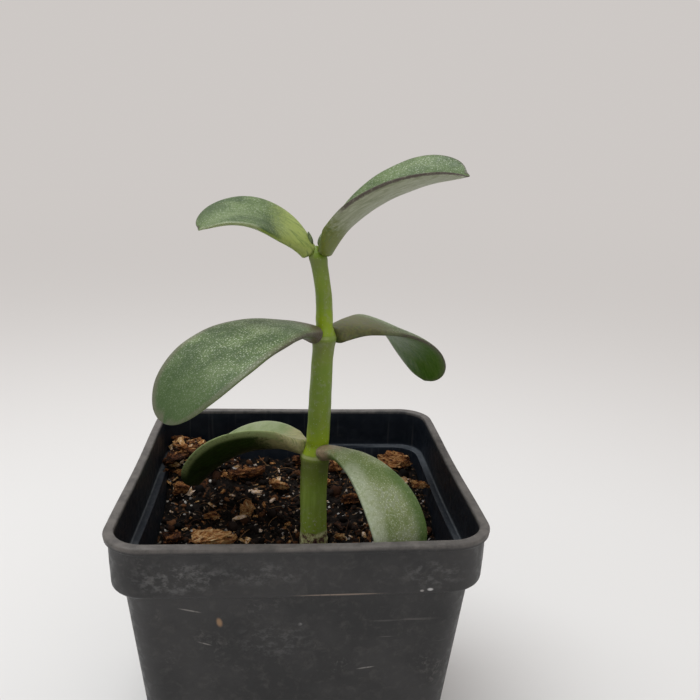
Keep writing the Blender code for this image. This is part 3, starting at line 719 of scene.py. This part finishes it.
def fibre_templates(rng, count=6):
    """Thin strands of coir, one unit long, each with its own bend."""
    made = []
    for number in range(count):
        bm = ringed_tube(5, 6, 0.5)
        bend, sway = rng.uniform(-0.35, 0.35), rng.uniform(-0.25, 0.25)
        for vert in bm.verts:
            along = vert.co.z + 0.5
            wave = math.sin(along * math.pi)
            vert.co = Vector((along, vert.co.x * FIBRE_RADIUS + bend * wave * along,
                              vert.co.y * FIBRE_RADIUS + 0.22 * wave
                              + sway * 0.4 * math.sin(along * 2 * math.pi)))
        made.append(shape_template(f"fibre_{number}", bm))
    return made


def scatter(name, templates, finish, spots, sharp=None):
    """Copy small shapes to their spots (matrix, shade) and join them into one piece."""
    bm = bmesh.new()
    for number, (matrix, shade) in enumerate(spots):
        copy = templates[number % len(templates)].copy()
        copy.transform(matrix)
        copy.attributes["shade"].data.foreach_set("value", [shade] * len(copy.vertices))
        bm.from_mesh(copy)
        bpy.data.meshes.remove(copy)
    return make_piece(name, bm, finish, sharp=sharp)


def soil_spot(rng, margin=1.2 * MM):
    """A random place on the soil, in metres."""
    half = inner_half(SOIL_LEVEL) - margin
    return into_corner(rng.uniform(-half, half), rng.uniform(-half, half), half, 7.0 * MM)


def laid(spot, scale, *turns):
    """The matrix that scales a small shape, turns it by (angle, axis) pairs, and moves it."""
    matrix = Matrix.Diagonal((*scale, 1.0))
    for angle, axis in turns:
        matrix = Matrix.Rotation(angle, 4, axis) @ matrix
    return Matrix.Translation(spot) @ matrix


def tumble(rng):
    angle = rng.uniform(0, 2 * math.pi)
    return angle, Vector([rng.gauss(0, 1) for _ in range(3)]).normalized()


# Kinds of crumbs: name, material, share of them up to this kind, size, dark and light tone
CRUMBS = [
    ("soil_crumbs", "crumb", 0.72, 1.0, (0.002, 0.0015, 0.0015), (0.014, 0.0085, 0.0065)),
    ("bark_crumbs", "bark_crumb", 0.93, 1.0, (0.030, 0.012, 0.006), (0.125, 0.054, 0.022)),
    ("pale_grit", "grit", 1.0, 0.6, (0.18, 0.17, 0.16), (0.50, 0.48, 0.44)),
]


def build_crumbs():
    rng = random.Random(5)
    spots = [[] for _ in CRUMBS]
    for _ in range(CRUMB_COUNT):
        x, y = soil_spot(rng)
        size = min(rng.lognormvariate(0.0, 0.45) * 0.55 * MM, 1.6 * MM)
        scale = [size * rng.uniform(0.6, 1.3) for _ in range(3)]
        matrix = laid((x, y, rough_ground(x, y) + 0.25 * size), scale, tumble(rng))
        pick = rng.random()
        kind = next(number for number, crumb in enumerate(CRUMBS) if pick < crumb[2])
        spots[kind].append((matrix @ Matrix.Scale(CRUMBS[kind][3], 4), rng.random()))
    templates = crumb_templates()
    for (name, finish, _, _, dark, light), found in zip(CRUMBS, spots):
        scatter(name, templates, scatter_finish(finish, dark, light), found)


def shard_templates(rng, count=10):
    """Angular splinters: cubes with every corner moved."""
    made = []
    for number in range(count):
        bm = bmesh.new()
        bmesh.ops.create_cube(bm, size=1.6)
        bmesh.ops.subdivide_edges(bm, edges=bm.edges, cuts=1, use_grid_fill=True)
        for vert in bm.verts:
            vert.co += Vector([rng.uniform(-0.35, 0.35) for _ in range(3)])
        made.append(shape_template(f"shard_{number}", bm))
    return made


def shard_finish():
    look = Finish("bark_shard", roughness=0.85, Specular_IOR_Level=0.15)
    mottle = look.cloud(look.place(), 1500.0, 4.0, 0.7)
    shade = look.work('ADD', look.painted("shade"), look.ease(mottle, 0.25, 0.75, -0.28, 0.28))
    return look.done(look.ramp(shade, SHARD_TONES), None, look.bump(mottle, 0.3 * MM))


def build_shards():
    """Splinters of bark all over the soil, every third one on the mound."""
    rng = random.Random(33)
    spots = []
    for number in range(SHARD_COUNT):
        if number % 3 == 0:
            reach = inner_half(LEDGE_TOP + MM) - 1.5 * MM
            x = -reach + abs(rng.gauss(0, 9.0 * MM))
            y = reach - abs(rng.gauss(0, 9.0 * MM))
        else:
            x, y = soil_spot(rng, 1.5 * MM)
        size = min(rng.lognormvariate(0.0, 0.5) * 0.55, 1.7) * MM
        ground = rough_ground(x, y)
        if max(abs(x), abs(y)) > inner_half(LEDGE_TOP) - 0.5 * MM:
            ground = LEDGE_TOP + 0.3 * size
        scale = (size * rng.uniform(1.0, 2.0), size * rng.uniform(0.5, 0.9),
                 size * rng.uniform(0.25, 0.6))
        roll, pitch = rng.gauss(0, 0.45), rng.gauss(0, 0.45)
        turn = rng.uniform(0, 2 * math.pi)
        matrix = laid((x, y, ground + 0.2 * size), scale, (pitch, 'Y'), (roll, 'X'), (turn, 'Z'))
        spots.append((matrix, rng.random()))
    scatter("bark_shards", shard_templates(rng), shard_finish(), spots, sharp=30.0)


def build_fibres():
    rng = random.Random(8)
    templates = fibre_templates(rng)
    spots = []
    for _ in range(FIBRE_COUNT):
        x, y = soil_spot(rng, 3.0 * MM)
        length = rng.uniform(2.0, 8.0) * MM
        turn = rng.uniform(0, 2 * math.pi)
        tilt = rng.uniform(-0.2, 0.2)
        matrix = laid((x, y, rough_ground(x, y) + 0.15 * MM), (length, 0.8 * length, 0.8 * length),
                      (tilt, 'Y'), (turn, 'Z'))
        spots.append((matrix, rng.random()))
    scatter("coir_fibres", templates, scatter_finish("coir", *COIR), spots)


# ---------------------------------------------------------------- bark chips

def bark_finish():
    """Composted pine bark: layers of orange, brown and straw, torn along the grain."""
    look = Finish("bark", roughness=0.85, Specular_IOR_Level=0.15)
    grain = look.painted("grain", "Vector")
    tone = look.painted("tone")
    layers = look.cloud(look.stretch(grain, (0.25, 0.9, 1.6)), 1.0, 6.0, 0.7, 0.8)
    specks = look.cloud(grain, 3.2, 5.0, 0.75)
    shade = look.work('ADD', layers, look.ease(tone, 0.0, 1.0, -0.16, 0.06))
    colour = look.ramp(shade, BARK_TONES)
    colour = look.over(colour, BARK_PIT, look.ease(specks, 0.56, 0.64, 0.0, 0.85))
    colour = look.over(colour, BARK_STRAW, look.ease(specks, 0.40, 0.32),
                       look.ease(tone, 0.3, 1.0, 0.1, 0.8))
    return look.done(colour, None, look.bump(look.work('ADD', layers, specks), 0.7 * MM))


CHIP_TONES = {"bark_chip_broad": 1.0, "bark_chip_orange": 0.95, "bark_chip_pale": 0.9,
              "bark_chip_long": 0.5, "bark_chip_by_stem": 1.0, "bark_chip_right_wall": 0.9}


def build_chips(finish):
    rng = random.Random(21)
    for node in sorted(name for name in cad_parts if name.startswith("bark_chip")):
        tone = CHIP_TONES.get(node, rng.uniform(0.35, 0.8))
        build_chip(node, tone, finish)


def build_chip(node, tone, finish):
    """Roughen the frame's own chip: split it finely, then tear it along its longest way."""
    bm = bmesh.new()
    bm.from_mesh(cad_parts[node].data)
    bmesh.ops.remove_doubles(bm, verts=bm.verts, dist=0.001 * MM)
    low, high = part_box(node)
    middle = (low + high) / 2
    far = max(bm.verts, key=lambda vert: (vert.co - middle).xy.length)
    along = Vector(((far.co - middle).x, (far.co - middle).y, 0.0)).normalized()
    across = Vector((-along.y, along.x, 0.0))
    while len(bm.faces) < 3000:
        bmesh.ops.subdivide_edges(bm, edges=bm.edges, cuts=1, use_grid_fill=True)
        bmesh.ops.triangulate(bm, faces=bm.faces)
    grain_layer = bm.verts.layers.float_vector.new("grain")
    tone_layer = bm.verts.layers.float.new("tone")
    bm.normal_update()
    seed = Vector((sum(map(ord, node)) % 97, 0.0, 0.0))
    moves = []
    for vert in bm.verts:
        offset = (vert.co - middle) / MM
        grain = Vector((offset.dot(along), offset.dot(across), offset.z)) + seed
        ridge = noise.fractal(Vector((grain.x * 0.3, grain.y * 1.5, grain.z * 2.0)), 0.6, 2.2, 5)
        step = noise.cell(Vector((grain.x * 0.35, grain.y * 0.9, grain.z * 1.6)))
        chunk = noise.noise(grain * 0.5)
        moves.append(vert.normal * (0.42 * ridge + 0.30 * step + 0.55 * chunk - 0.35) * MM)
        vert[grain_layer] = grain
        vert[tone_layer] = tone
    for vert, move in zip(bm.verts, moves):
        vert.co += move
    make_piece("rough_" + node, bm, finish, [node], 25.0)


# ---------------------------------------------------------------- stem

def between(before, start, end, after, share):
    """Catmull-Rom value between start and end."""
    return 0.5 * (2 * start + (end - before) * share
                  + (2 * before - 5 * start + 4 * end - after) * share ** 2
                  + (3 * start - before - 3 * end + after) * share ** 3)


def stem_line(steps=12):
    """(place in mm above the soil, radius in mm) along the stem."""
    last = len(STEM) - 1
    line = []
    for i in range(last):
        around = [STEM[max(i - 1, 0)], STEM[i], STEM[i + 1], STEM[min(i + 2, last)]]
        for step in range(steps):
            line.append([between(*values, step / steps) for values in zip(*around)])
    line.append(list(STEM[-1]))
    return line


def on_stem(height, line):
    """(x, y, radius) of the stem at a height in mm above the soil."""
    for low, high in zip(line[:-1], line[1:]):
        if low[2] <= height <= high[2]:
            share = (height - low[2]) / (high[2] - low[2])
            return [a + (b - a) * share for a, b in zip(low, high)]
    return line[-1]


def stem_swell(height):
    """The collar where each pair of leaves is joined on, with a waist above it, in mm."""
    swell = 0.0
    for node, size in ((LOWER_NODE, 0.45), (MIDDLE_NODE, 0.45), (TOP_NODE, 0.30)):
        swell += size * bell(height - node - 0.3, 1.5) - 0.22 * bell(height - node - 3.6, 0.9)
    return swell


def build_stem():
    line = stem_line()
    bottom, top = STEM[0][2], STEM[-1][2]
    bm = ringed_tube(STEM_SIDES, STEM_RINGS)
    height_layer = bm.verts.layers.float.new("height")
    for vert in bm.verts:
        height = bottom + (top - bottom) * (vert.co.z + 0.5)
        x, y, z, radius = on_stem(height, line)
        angle = math.atan2(vert.co.y, vert.co.x)
        spot = Vector((math.cos(angle), math.sin(angle), height * 0.12))
        radius += stem_swell(height) + 0.10 * noise.noise(spot * 2.3)
        cork = 0.22 + 0.35 * noise.noise(Vector((spot.x * 3, spot.y * 3, height)))
        radius += cork * bell(height - 2.4, 2.8)
        vert.co = Vector((x + radius * math.cos(angle), y + radius * math.sin(angle),
                          SOIL_LEVEL / MM + height)) * MM
        vert[height_layer] = height
    return make_piece("jade_stem", bm, stem_finish(), ["stem"], 60.0)


def stem_finish():
    """Green skin, lime above each joint, greyer under the next, painted light brightening the foot,
    and cork at the soil.
    """
    look = Finish("stem_skin", roughness=0.42, Specular_IOR_Level=0.3)
    place = look.place()
    height = look.painted("height")
    mottle = look.cloud(place, 160.0, 5.0, 0.6)
    streaks = look.cloud(look.stretch(place, (900.0, 900.0, 110.0)), 1.0, 4.0, 0.6)
    colour = look.mix(look.ease(mottle, 0.3, 0.7), STEM_GREEN, STEM_LIGHT)
    for start, reach in ((4.5, 9.0), (LOWER_NODE + 1.0, 10.5), (MIDDLE_NODE + 1.0, 10.0)):
        colour = look.over(colour, STEM_LIME, look.ease(height, start, start + 0.8),
                           look.ease(height, start + reach, start + 0.3 * reach),
                           look.ease(mottle, 0.2, 0.7, 0.6, 1.0))
    for node, reach in ((LOWER_NODE, 9.0), (MIDDLE_NODE, 8.0), (TOP_NODE, 6.0)):
        colour = look.over(colour, STEM_GREY, look.ease(height, node - reach, node - 1.0),
                           look.ease(height, node + 0.6, node - 0.4),
                           look.ease(streaks, 0.3, 0.7, 0.35, 0.75))
    colour = look.over(colour, STEM_STREAK, look.ease(streaks, 0.55, 0.75, 0.0, 0.4))
    distance, chosen, _ = look.cells(place, 1300.0)
    colour = look.over(colour, STEM_FLECK, look.ease(distance, 0.24, 0.10),
                       look.ease(chosen, 0.40, 0.45), 0.38)
    worn = look.ease(look.cloud(place, 420.0, 6.0, 0.75), 0.50, 0.68, 0.0, 0.5)
    colour = look.over(colour, STEM_WORN, worn)
    for node in (LOWER_NODE, MIDDLE_NODE):
        away = look.work('ABSOLUTE', look.work('SUBTRACT', height, node + 0.9))
        colour = look.over(colour, JOINT_RING, look.ease(away, 0.55, 0.2),
                           look.ease(mottle, 0.3, 0.6, 0.2, 0.75))
    # Painted light: the lower stem brightened where the pot's shade falls on it
    colour = look.over(colour, FOOT_PAINTED_LIGHT, look.ease(height, LOWER_NODE - 3.0, 15.0),
                       look.ease(streaks, 0.3, 0.7, 0.5, 1.0), 0.85)
    pale = look.ease(look.cloud(place, 1300.0, 3.0, 0.6), 0.57, 0.66)
    colour = look.over(colour, FOOT_PALE, pale, look.ease(height, 14.5, 9.5), 0.7)
    cork = look.ramp(look.cloud(place, 520.0, 5.0, 0.7), CORK_TONES)
    colour = look.over(colour, cork, look.ease(look.roughen(height, mottle, 1.5), 5.8, 4.8))
    normal = look.bump(look.cloud(place, 700.0, 3.0), 0.06 * MM, look.bump(streaks, 0.10 * MM))
    return look.done(colour, look.ease(mottle, 0.3, 0.7, 0.36, 0.52), normal)


# ---------------------------------------------------------------- leaves

def leaf_direction(leaf, share):
    """Unit vector along the midrib, with the azimuth there."""
    turn = math.radians(from_to(leaf["azimuth"], share))
    rise = math.radians(from_to(leaf["rise"], share ** leaf["bend"]))
    return Vector((math.cos(rise) * math.cos(turn), math.cos(rise) * math.sin(turn),
                   math.sin(rise))), turn


def midrib(leaf, length):
    line = [Vector((0, 0, 0))]
    for i in range(LINE_STEPS):
        along, _ = leaf_direction(leaf, (i + 0.5) / LINE_STEPS)
        line.append(line[-1] + along * length / LINE_STEPS)
    return line


def root_cap(share):
    return math.sqrt(max(1 - (1 - min(share / CAP_SHARE, 1.0)) ** 2, 0.0))


def half_width(leaf, share):
    if share < leaf["widest"]:
        grown = math.sin(math.pi / 2 * share / leaf["widest"]) ** leaf["fullness"]
        width = leaf["petiole"] + (1 - leaf["petiole"]) * grown
    else:
        end = (share - leaf["widest"]) / (1 - leaf["widest"])
        width = math.sqrt(max(1 - end ** TIP_POWER, 0.0))
    return leaf["width"] / 2 * width * root_cap(share)


def half_thickness(leaf, share):
    thinning = smooth_step(share / PETIOLE_SHARE)
    thick = leaf["root"] + (BLADE_THICKNESS - leaf["root"]) * thinning
    return thick / 2 * (1 - 0.25 * share) * math.sqrt(max(1 - share ** 5, 0.0)) * root_cap(share)


def leaf_root(leaf, line):
    """Where the midrib starts, in mm in the pot's frame."""
    turn = math.radians(leaf["azimuth"][0])
    x, y, height, _ = on_stem(leaf["node"], line)
    return Vector((x + math.cos(turn) * leaf["offset"], y + math.sin(turn) * leaf["offset"],
                   SOIL_LEVEL / MM + height + leaf["lift"]))


def leaf_length(leaf, root):
    """A leaf that hangs inside the pot is as long as the room in front of it allows."""
    if leaf["length"] is not None:
        return leaf["length"]
    reach = midrib(leaf, 1.0)[-1]
    wall = TIP_ROOM - (body_half(LEDGE_TOP) - BODY_WALL) / MM
    return (wall - root.y) / reach.y


def build_leaf(name, leaf, stem):
    """A sphere drawn out along the midrib, so its rings become the leaf's cross-sections."""
    root = leaf_root(leaf, stem)
    length = leaf_length(leaf, root)
    line = midrib(leaf, length)
    bm = bmesh.new()
    bmesh.ops.create_uvsphere(bm, u_segments=LEAF_SIDES, v_segments=LEAF_RINGS, radius=1.0)
    layers = {key: bm.verts.layers.float.new(key) for key in ("along", "across", "over", "rim")}
    flat = bm.verts.layers.float_vector.new("flat")
    for vert in bm.verts:
        share = min(max((1 - vert.co.z) / 2, 0.0), 1.0)
        angle = math.atan2(vert.co.y, vert.co.x)
        across, over = math.cos(angle), math.sin(angle)
        if vert.co.xy.length < 0.001:
            across = over = 0.0
        along, turn = leaf_direction(leaf, share)
        side = Vector((math.sin(turn), -math.cos(turn), 0))
        above = side.cross(along)
        roll = math.radians(from_to(leaf["roll"], share))
        side, above = (side * math.cos(roll) + above * math.sin(roll),
                       above * math.cos(roll) - side * math.sin(roll))
        width = half_width(leaf, share)
        rim = min(width * (1 - abs(across)), (1 - share) * length)
        channel = leaf["channel"] * min(share / CHANNEL_START, 1.0) * width
        swell = math.copysign(abs(over) ** 0.85, over)
        ripple = 0.16 * noise.noise(Vector((width * across * 0.16, length * share * 0.16, turn)))
        height = half_thickness(leaf, share) * swell + channel * abs(across) ** 1.6
        height += ripple * smooth_step(share / 0.2)
        place = share * LINE_STEPS
        step = min(int(place), LINE_STEPS - 1)
        centre = line[step].lerp(line[step + 1], place - step)
        point = leaf["point"] * bell((1 - share) * length, 0.35) * bell(width * across, 0.9)
        vert.co = (root + centre + side * width * across + above * height + along * point) * MM
        for key, value in (("along", share), ("across", across), ("over", over), ("rim", rim)):
            vert[layers[key]] = value
        vert[flat] = (width * across, length * share, 40.0 * (over < 0))
    bmesh.ops.recalc_face_normals(bm, faces=bm.faces)
    piece = make_piece("jade_" + name, bm, leaf_finish(name), [name])
    subdivide_surface(piece)


# How each leaf differs: wax bloom and dots on top, the underside's two colours (painted shade on the
# lower left one, painted sheen on the top right one), the petiole's colour, reach and wear, and
# stretches of margin as (side, start, end, width in mm, strength, colour), where side 1 is the margin
# nearer the front and -1 the one behind it. Some have their own greens on top, or a tip darkened with
# painted shade.
LOOKS = {
    # Lower left: its full bloom is wax bloom and a painted highlight along its top outline, the green
    # band on its near margin is painted light grading down from it, and its underside is painted
    # shade.
    "leaf_lower_left": dict(
        worn=0.3, bloom=1.0, dots=0.1, under=UNDER_PAINTED_SHADE, petiole=(0.34, 0.32, 0.15), reach=0.30,
        greens=((0.120, 0.170, 0.050), (0.230, 0.280, 0.130)),
        margins=((1, 0.10, 0.90, 1.7, 0.80, (0.27, 0.34, 0.14)), (-1, 0.2, 1.0, 0.9, 0.7, PALE_RIM))),
    "leaf_lower_right": dict(
        worn=0.35, bloom=1.0, dots=0.6, under=UNDER_GREEN, petiole=(0.40, 0.30, 0.20), reach=0.22,
        greens=((0.095, 0.145, 0.030), (0.170, 0.215, 0.065)),
        margins=((-1, 0.40, 1.0, 5.5, 0.85, (0.050, 0.105, 0.014)),
                 (1, 0.30, 1.0, 6.0, 0.60, (0.36, 0.40, 0.30)))),
    "leaf_middle_left": dict(
        worn=0.5, bloom=0.45, dots=0.75, under=UNDER_GREEN, petiole=PETIOLE_BROWN, reach=0.20,
        tip_painted_shade=0.85,
        margins=((1, 0.0, 1.0, 1.9, 0.45, (0.115, 0.105, 0.075)), (1, 0.0, 0.6, 0.5, 0.6, PURPLE),
                 (-1, 0.0, 1.0, 3.0, 0.60, (0.120, 0.108, 0.080)))),
    "leaf_middle_right": dict(
        worn=0.6, bloom=0.40, dots=0.9, under=UNDER_VIVID,
        petiole=(0.110, 0.108, 0.034), reach=0.46,
        margins=((1, 0.20, 1.0, 2.3, 0.45, (0.13, 0.135, 0.085)), (1, 0.3, 1.0, 0.4, 0.8, PURPLE),
                 (-1, 0.45, 1.0, 2.6, 0.45, (0.22, 0.26, 0.12)),
                 (-1, 0.6, 1.0, 0.7, 0.7, PURPLE_GREY))),
    "leaf_top_left": dict(
        worn=0.1, bloom=0.35, dots=0.35, under=UNDER_LIME,
        petiole=(0.310, 0.375, 0.100), reach=0.50,
        margins=((1, 0.55, 1.0, 1.0, 0.6, PALE_RIM), (-1, 0.0, 0.7, 0.8, 0.5, PURPLE_GREY),
                 (-1, 0.85, 1.0, 0.6, 0.8, PURPLE))),
    "leaf_top_right": dict(
        worn=0.2, bloom=0.30, dots=0.45, under=UNDER_BLOOM_AND_PAINTED_SHEEN, petiole=(0.125, 0.155, 0.012), reach=0.30,
        margins=((1, 0.27, 1.0, 0.5, 0.85, PURPLE), (-1, 0.4, 1.0, 0.8, 0.45, PURPLE_GREY),
                 (-1, 0.92, 1.0, 1.0, 0.6, PURPLE))),
}


def leaf_finish(name):
    """Waxy green skin: a grey bloom and white dots on top, and its own margins."""
    want = LOOKS[name]
    look = Finish(name + "_skin", roughness=0.45, Specular_IOR_Level=0.3)
    forward = math.copysign(1.0, math.cos(math.radians(LEAVES[name]["azimuth"][0])))
    place = look.place()
    flat = look.painted("flat", "Vector")
    along = look.painted("along")
    across = look.painted("across")
    top = look.ease(look.painted("over"), -0.05, 0.25)
    broad = look.cloud(place, 110.0, 4.0, 0.6)
    fine = look.cloud(place, 1100.0, 5.0, 0.7)
    veins = look.cloud(look.stretch(flat, (1.3, 0.2, 1.0), (0.0, 0.0, 0.25)), 1.0, 5.0, 0.65, 0.8)
    colour = look.mix(look.ease(broad, 0.32, 0.68), *want.get("greens", (LEAF_DARK, LEAF_GREEN)))
    colour = look.over(colour, LEAF_LIME, look.ease(veins, 0.5, 0.75, 0.0, 0.22))
    colour = look.over(colour, LEAF_BLOOM, look.ease(broad, 0.38, 0.68, 0.15, 1.0),
                       look.ease(fine, 0.38, 0.62, 0.25, 1.1), want["bloom"])
    for scale, size in ((1.15, 0.15), (2.1, 0.17)):
        distance, chosen, _ = look.cells(flat, scale, '2D')
        colour = look.over(colour, LEAF_DOT, look.ease(distance, 1.7 * size, 0.6 * size),
                           look.ease(chosen, 0.15, 0.75), look.ease(broad, 0.3, 0.6, 0.45, 1.0),
                           0.80 * want["dots"])
    # Painted shade: the tip darkened where the leaf turns down, away from the light
    if "tip_painted_shade" in want:
        colour = look.over(colour, LEAF_DARK, look.ease(along, 0.55, 0.95, 0.0, want["tip_painted_shade"]))
    # The underside's colours; the lower left leaf's is painted shade and the top right one's has
    # painted sheen.
    colour = look.mix(top, look.mix(look.ease(veins, 0.35, 0.65), *want["under"]), colour)
    petiole = look.over(want["petiole"], LEAF_GREEN, look.ease(veins, 0.50, 0.66, 0.0, 0.7))
    petiole = look.over(petiole, PETIOLE_WEAR, look.ease(fine, 0.60, 0.42, 0.0, want["worn"]))
    near_stem = look.ease(look.roughen(along, fine, 0.06), want["reach"], 0.45 * want["reach"])
    colour = look.over(colour, petiole, near_stem, 0.95)
    edge = look.roughen(look.painted("rim"), fine, 0.2)
    broken = look.ease(fine, 0.34, 0.52, 0.5, 1.0)
    for side, start, end, width, strength, tint in want["margins"]:
        shares = [look.ease(edge, width, 0.35 * width), broken, strength,
                  look.ease(look.times(across, side * forward), 0.05, 0.3)]
        if start > 0:
            shares.append(look.ease(along, start, start + 0.08))
        if end < 1:
            shares.append(look.ease(along, end, end - 0.12))
        colour = look.over(colour, tint, *shares)
    normal = look.bump(broad, 0.3 * MM, look.bump(look.cloud(flat, 2.2, 3.0, 0.6), 0.05 * MM))
    return look.done(colour, look.ease(fine, 0.3, 0.7, 0.38, 0.55), normal)


def build_buds(stem):
    """The two unopened leaves that clasp the growing tip."""
    look = Finish("bud_skin")
    shade = look.cloud(look.place(), 900.0, 4.0)
    colour = look.mix(look.ease(shade, 0.3, 0.7), *BUD_GREENS)
    finish = look.done(colour, None, look.bump(shade, 0.05 * MM))
    tip = Vector(stem[-1][:3]) + Vector((0, 0, SOIL_LEVEL / MM))
    for name, side in (("bud_leaf_left", -1), ("bud_leaf_right", 1)):
        bm = bmesh.new()
        bmesh.ops.create_uvsphere(bm, u_segments=20, v_segments=18, radius=1.0)
        for vert in bm.verts:
            share = (vert.co.z + 1) / 2
            radius = BUD_RADIUS * (1.0 - 0.5 * share ** 1.5)
            vert.co = Vector((vert.co.x * radius * 0.9 + side * 0.25 * share ** 2,
                              vert.co.y * radius * 1.4, share * BUD_LENGTH))
        lean = Matrix.Rotation(math.radians(BUD_LEAN * side), 4, 'Y')
        start = Matrix.Translation(tip + Vector((side * 0.85, 0, 0)))
        bmesh.ops.transform(bm, matrix=Matrix.Scale(MM, 4) @ start @ lean, verts=bm.verts)
        bmesh.ops.recalc_face_normals(bm, faces=bm.faces)
        subdivide_surface(make_piece("jade_" + name, bm, finish, [name]))


# ---------------------------------------------------------------- studio

STUDIO_GREY = (0.612, 0.580, 0.560)
FLOOR_WHITE = (0.695, 0.695, 0.695)
FLOOR_FRONT = (0.0, -0.18, 0.0)
FLOOR_NEAR, FLOOR_FAR = 0.32, 3.5
FLOOR_SIZE = 40.0
PLANT_MIDDLE = Vector((0.0, 0.0, 0.09))
CAMERA_PLACE = (-0.0045, -0.18194, 0.16608)
CAMERA_TURNS = ((1.995, 'Z'), (74.91, 'X'), (-5.62, 'Z'))
CAMERA_LENS = 36.24


def build_floor():
    """A pale floor that runs out into the studio's grey."""
    bm = bmesh.new()
    bmesh.ops.create_grid(bm, x_segments=1, y_segments=1, size=FLOOR_SIZE)
    look = Finish("pale_floor", roughness=0.9, Specular_IOR_Level=0.0)
    reach = look.add("ShaderNodeVectorMath", {0: look.place(), 1: FLOOR_FRONT}, operation='DISTANCE')
    far = look.ease(look.work('DIVIDE', 1.0, reach.outputs["Value"]), 1 / FLOOR_NEAR, 1 / FLOOR_FAR)
    look.put(look.shader.inputs["Emission Color"], STUDIO_GREY)
    look.put(look.shader.inputs["Emission Strength"],
             look.times(far, look.ease(far, 0.0, 1.0, 1.14, 1.0)))
    mesh = mesh_from(bm, "floor")
    mesh.materials.append(look.done(look.mix(far, FLOOR_WHITE, (0.0, 0.0, 0.0))))
    into_scene("floor", mesh)


def soft_light(name, place, size, power, colour):
    light = bpy.data.lights.new(name, 'AREA')
    light.shape = 'DISK'
    light.size = size
    light.energy = power
    light.color = colour
    lamp = into_scene(name, light)
    lamp.location = place
    lamp.rotation_euler = (PLANT_MIDDLE - Vector(place)).to_track_quat('-Z', 'Y').to_euler()


def build_studio():
    """Grey all round, a little brighter above, with two soft lights."""
    world = bpy.data.worlds.new("studio")
    world.use_nodes = True
    nodes, links = world.node_tree.nodes, world.node_tree.links
    background = nodes["Background"]
    background.inputs["Color"].default_value = (*STUDIO_GREY, 1.0)
    direction = nodes.new("ShaderNodeTexCoord")
    split = nodes.new("ShaderNodeSeparateXYZ")
    brighter = nodes.new("ShaderNodeMapRange")
    for socket, value in (("From Min", 0.25), ("To Min", 1.0), ("To Max", 1.25)):
        brighter.inputs[socket].default_value = value
    links.new(direction.outputs["Generated"], split.inputs[0])
    links.new(split.outputs[2], brighter.inputs["Value"])
    links.new(brighter.outputs["Result"], background.inputs["Strength"])
    bpy.context.scene.world = world
    bpy.context.scene.view_settings.view_transform = 'Standard'
    soft_light("top_light", (-0.20, 0.05, 0.85), 0.6, 4.6, (0.96, 0.99, 1.0))
    soft_light("front_light", (0.35, -0.9, 0.55), 0.5, 0.8, (1.0, 1.0, 1.0))
    build_floor()


def build_camera():
    """At the height of the upper leaves, close in front, looking a little down."""
    camera = bpy.data.cameras.new("camera")
    camera.sensor_width = 36.0
    camera.lens = CAMERA_LENS
    camera.clip_start = 0.01
    viewer = into_scene("camera", camera)
    turns = [(math.radians(angle), axis) for angle, axis in CAMERA_TURNS]
    viewer.matrix_world = laid(CAMERA_PLACE, (1.0, 1.0, 1.0), *turns)
    bpy.context.scene.camera = viewer


# ---------------------------------------------------------------- all of it


build_camera()
build_studio()
cut_drain_holes(build_pot())
build_soil()
build_crumbs()
build_shards()
build_fibres()
build_chips(bark_finish())
build_stem()
stem_path = stem_line()
for leaf_name, leaf_shape in LEAVES.items():
    build_leaf(leaf_name, leaf_shape, stem_path)
build_buds(stem_path)
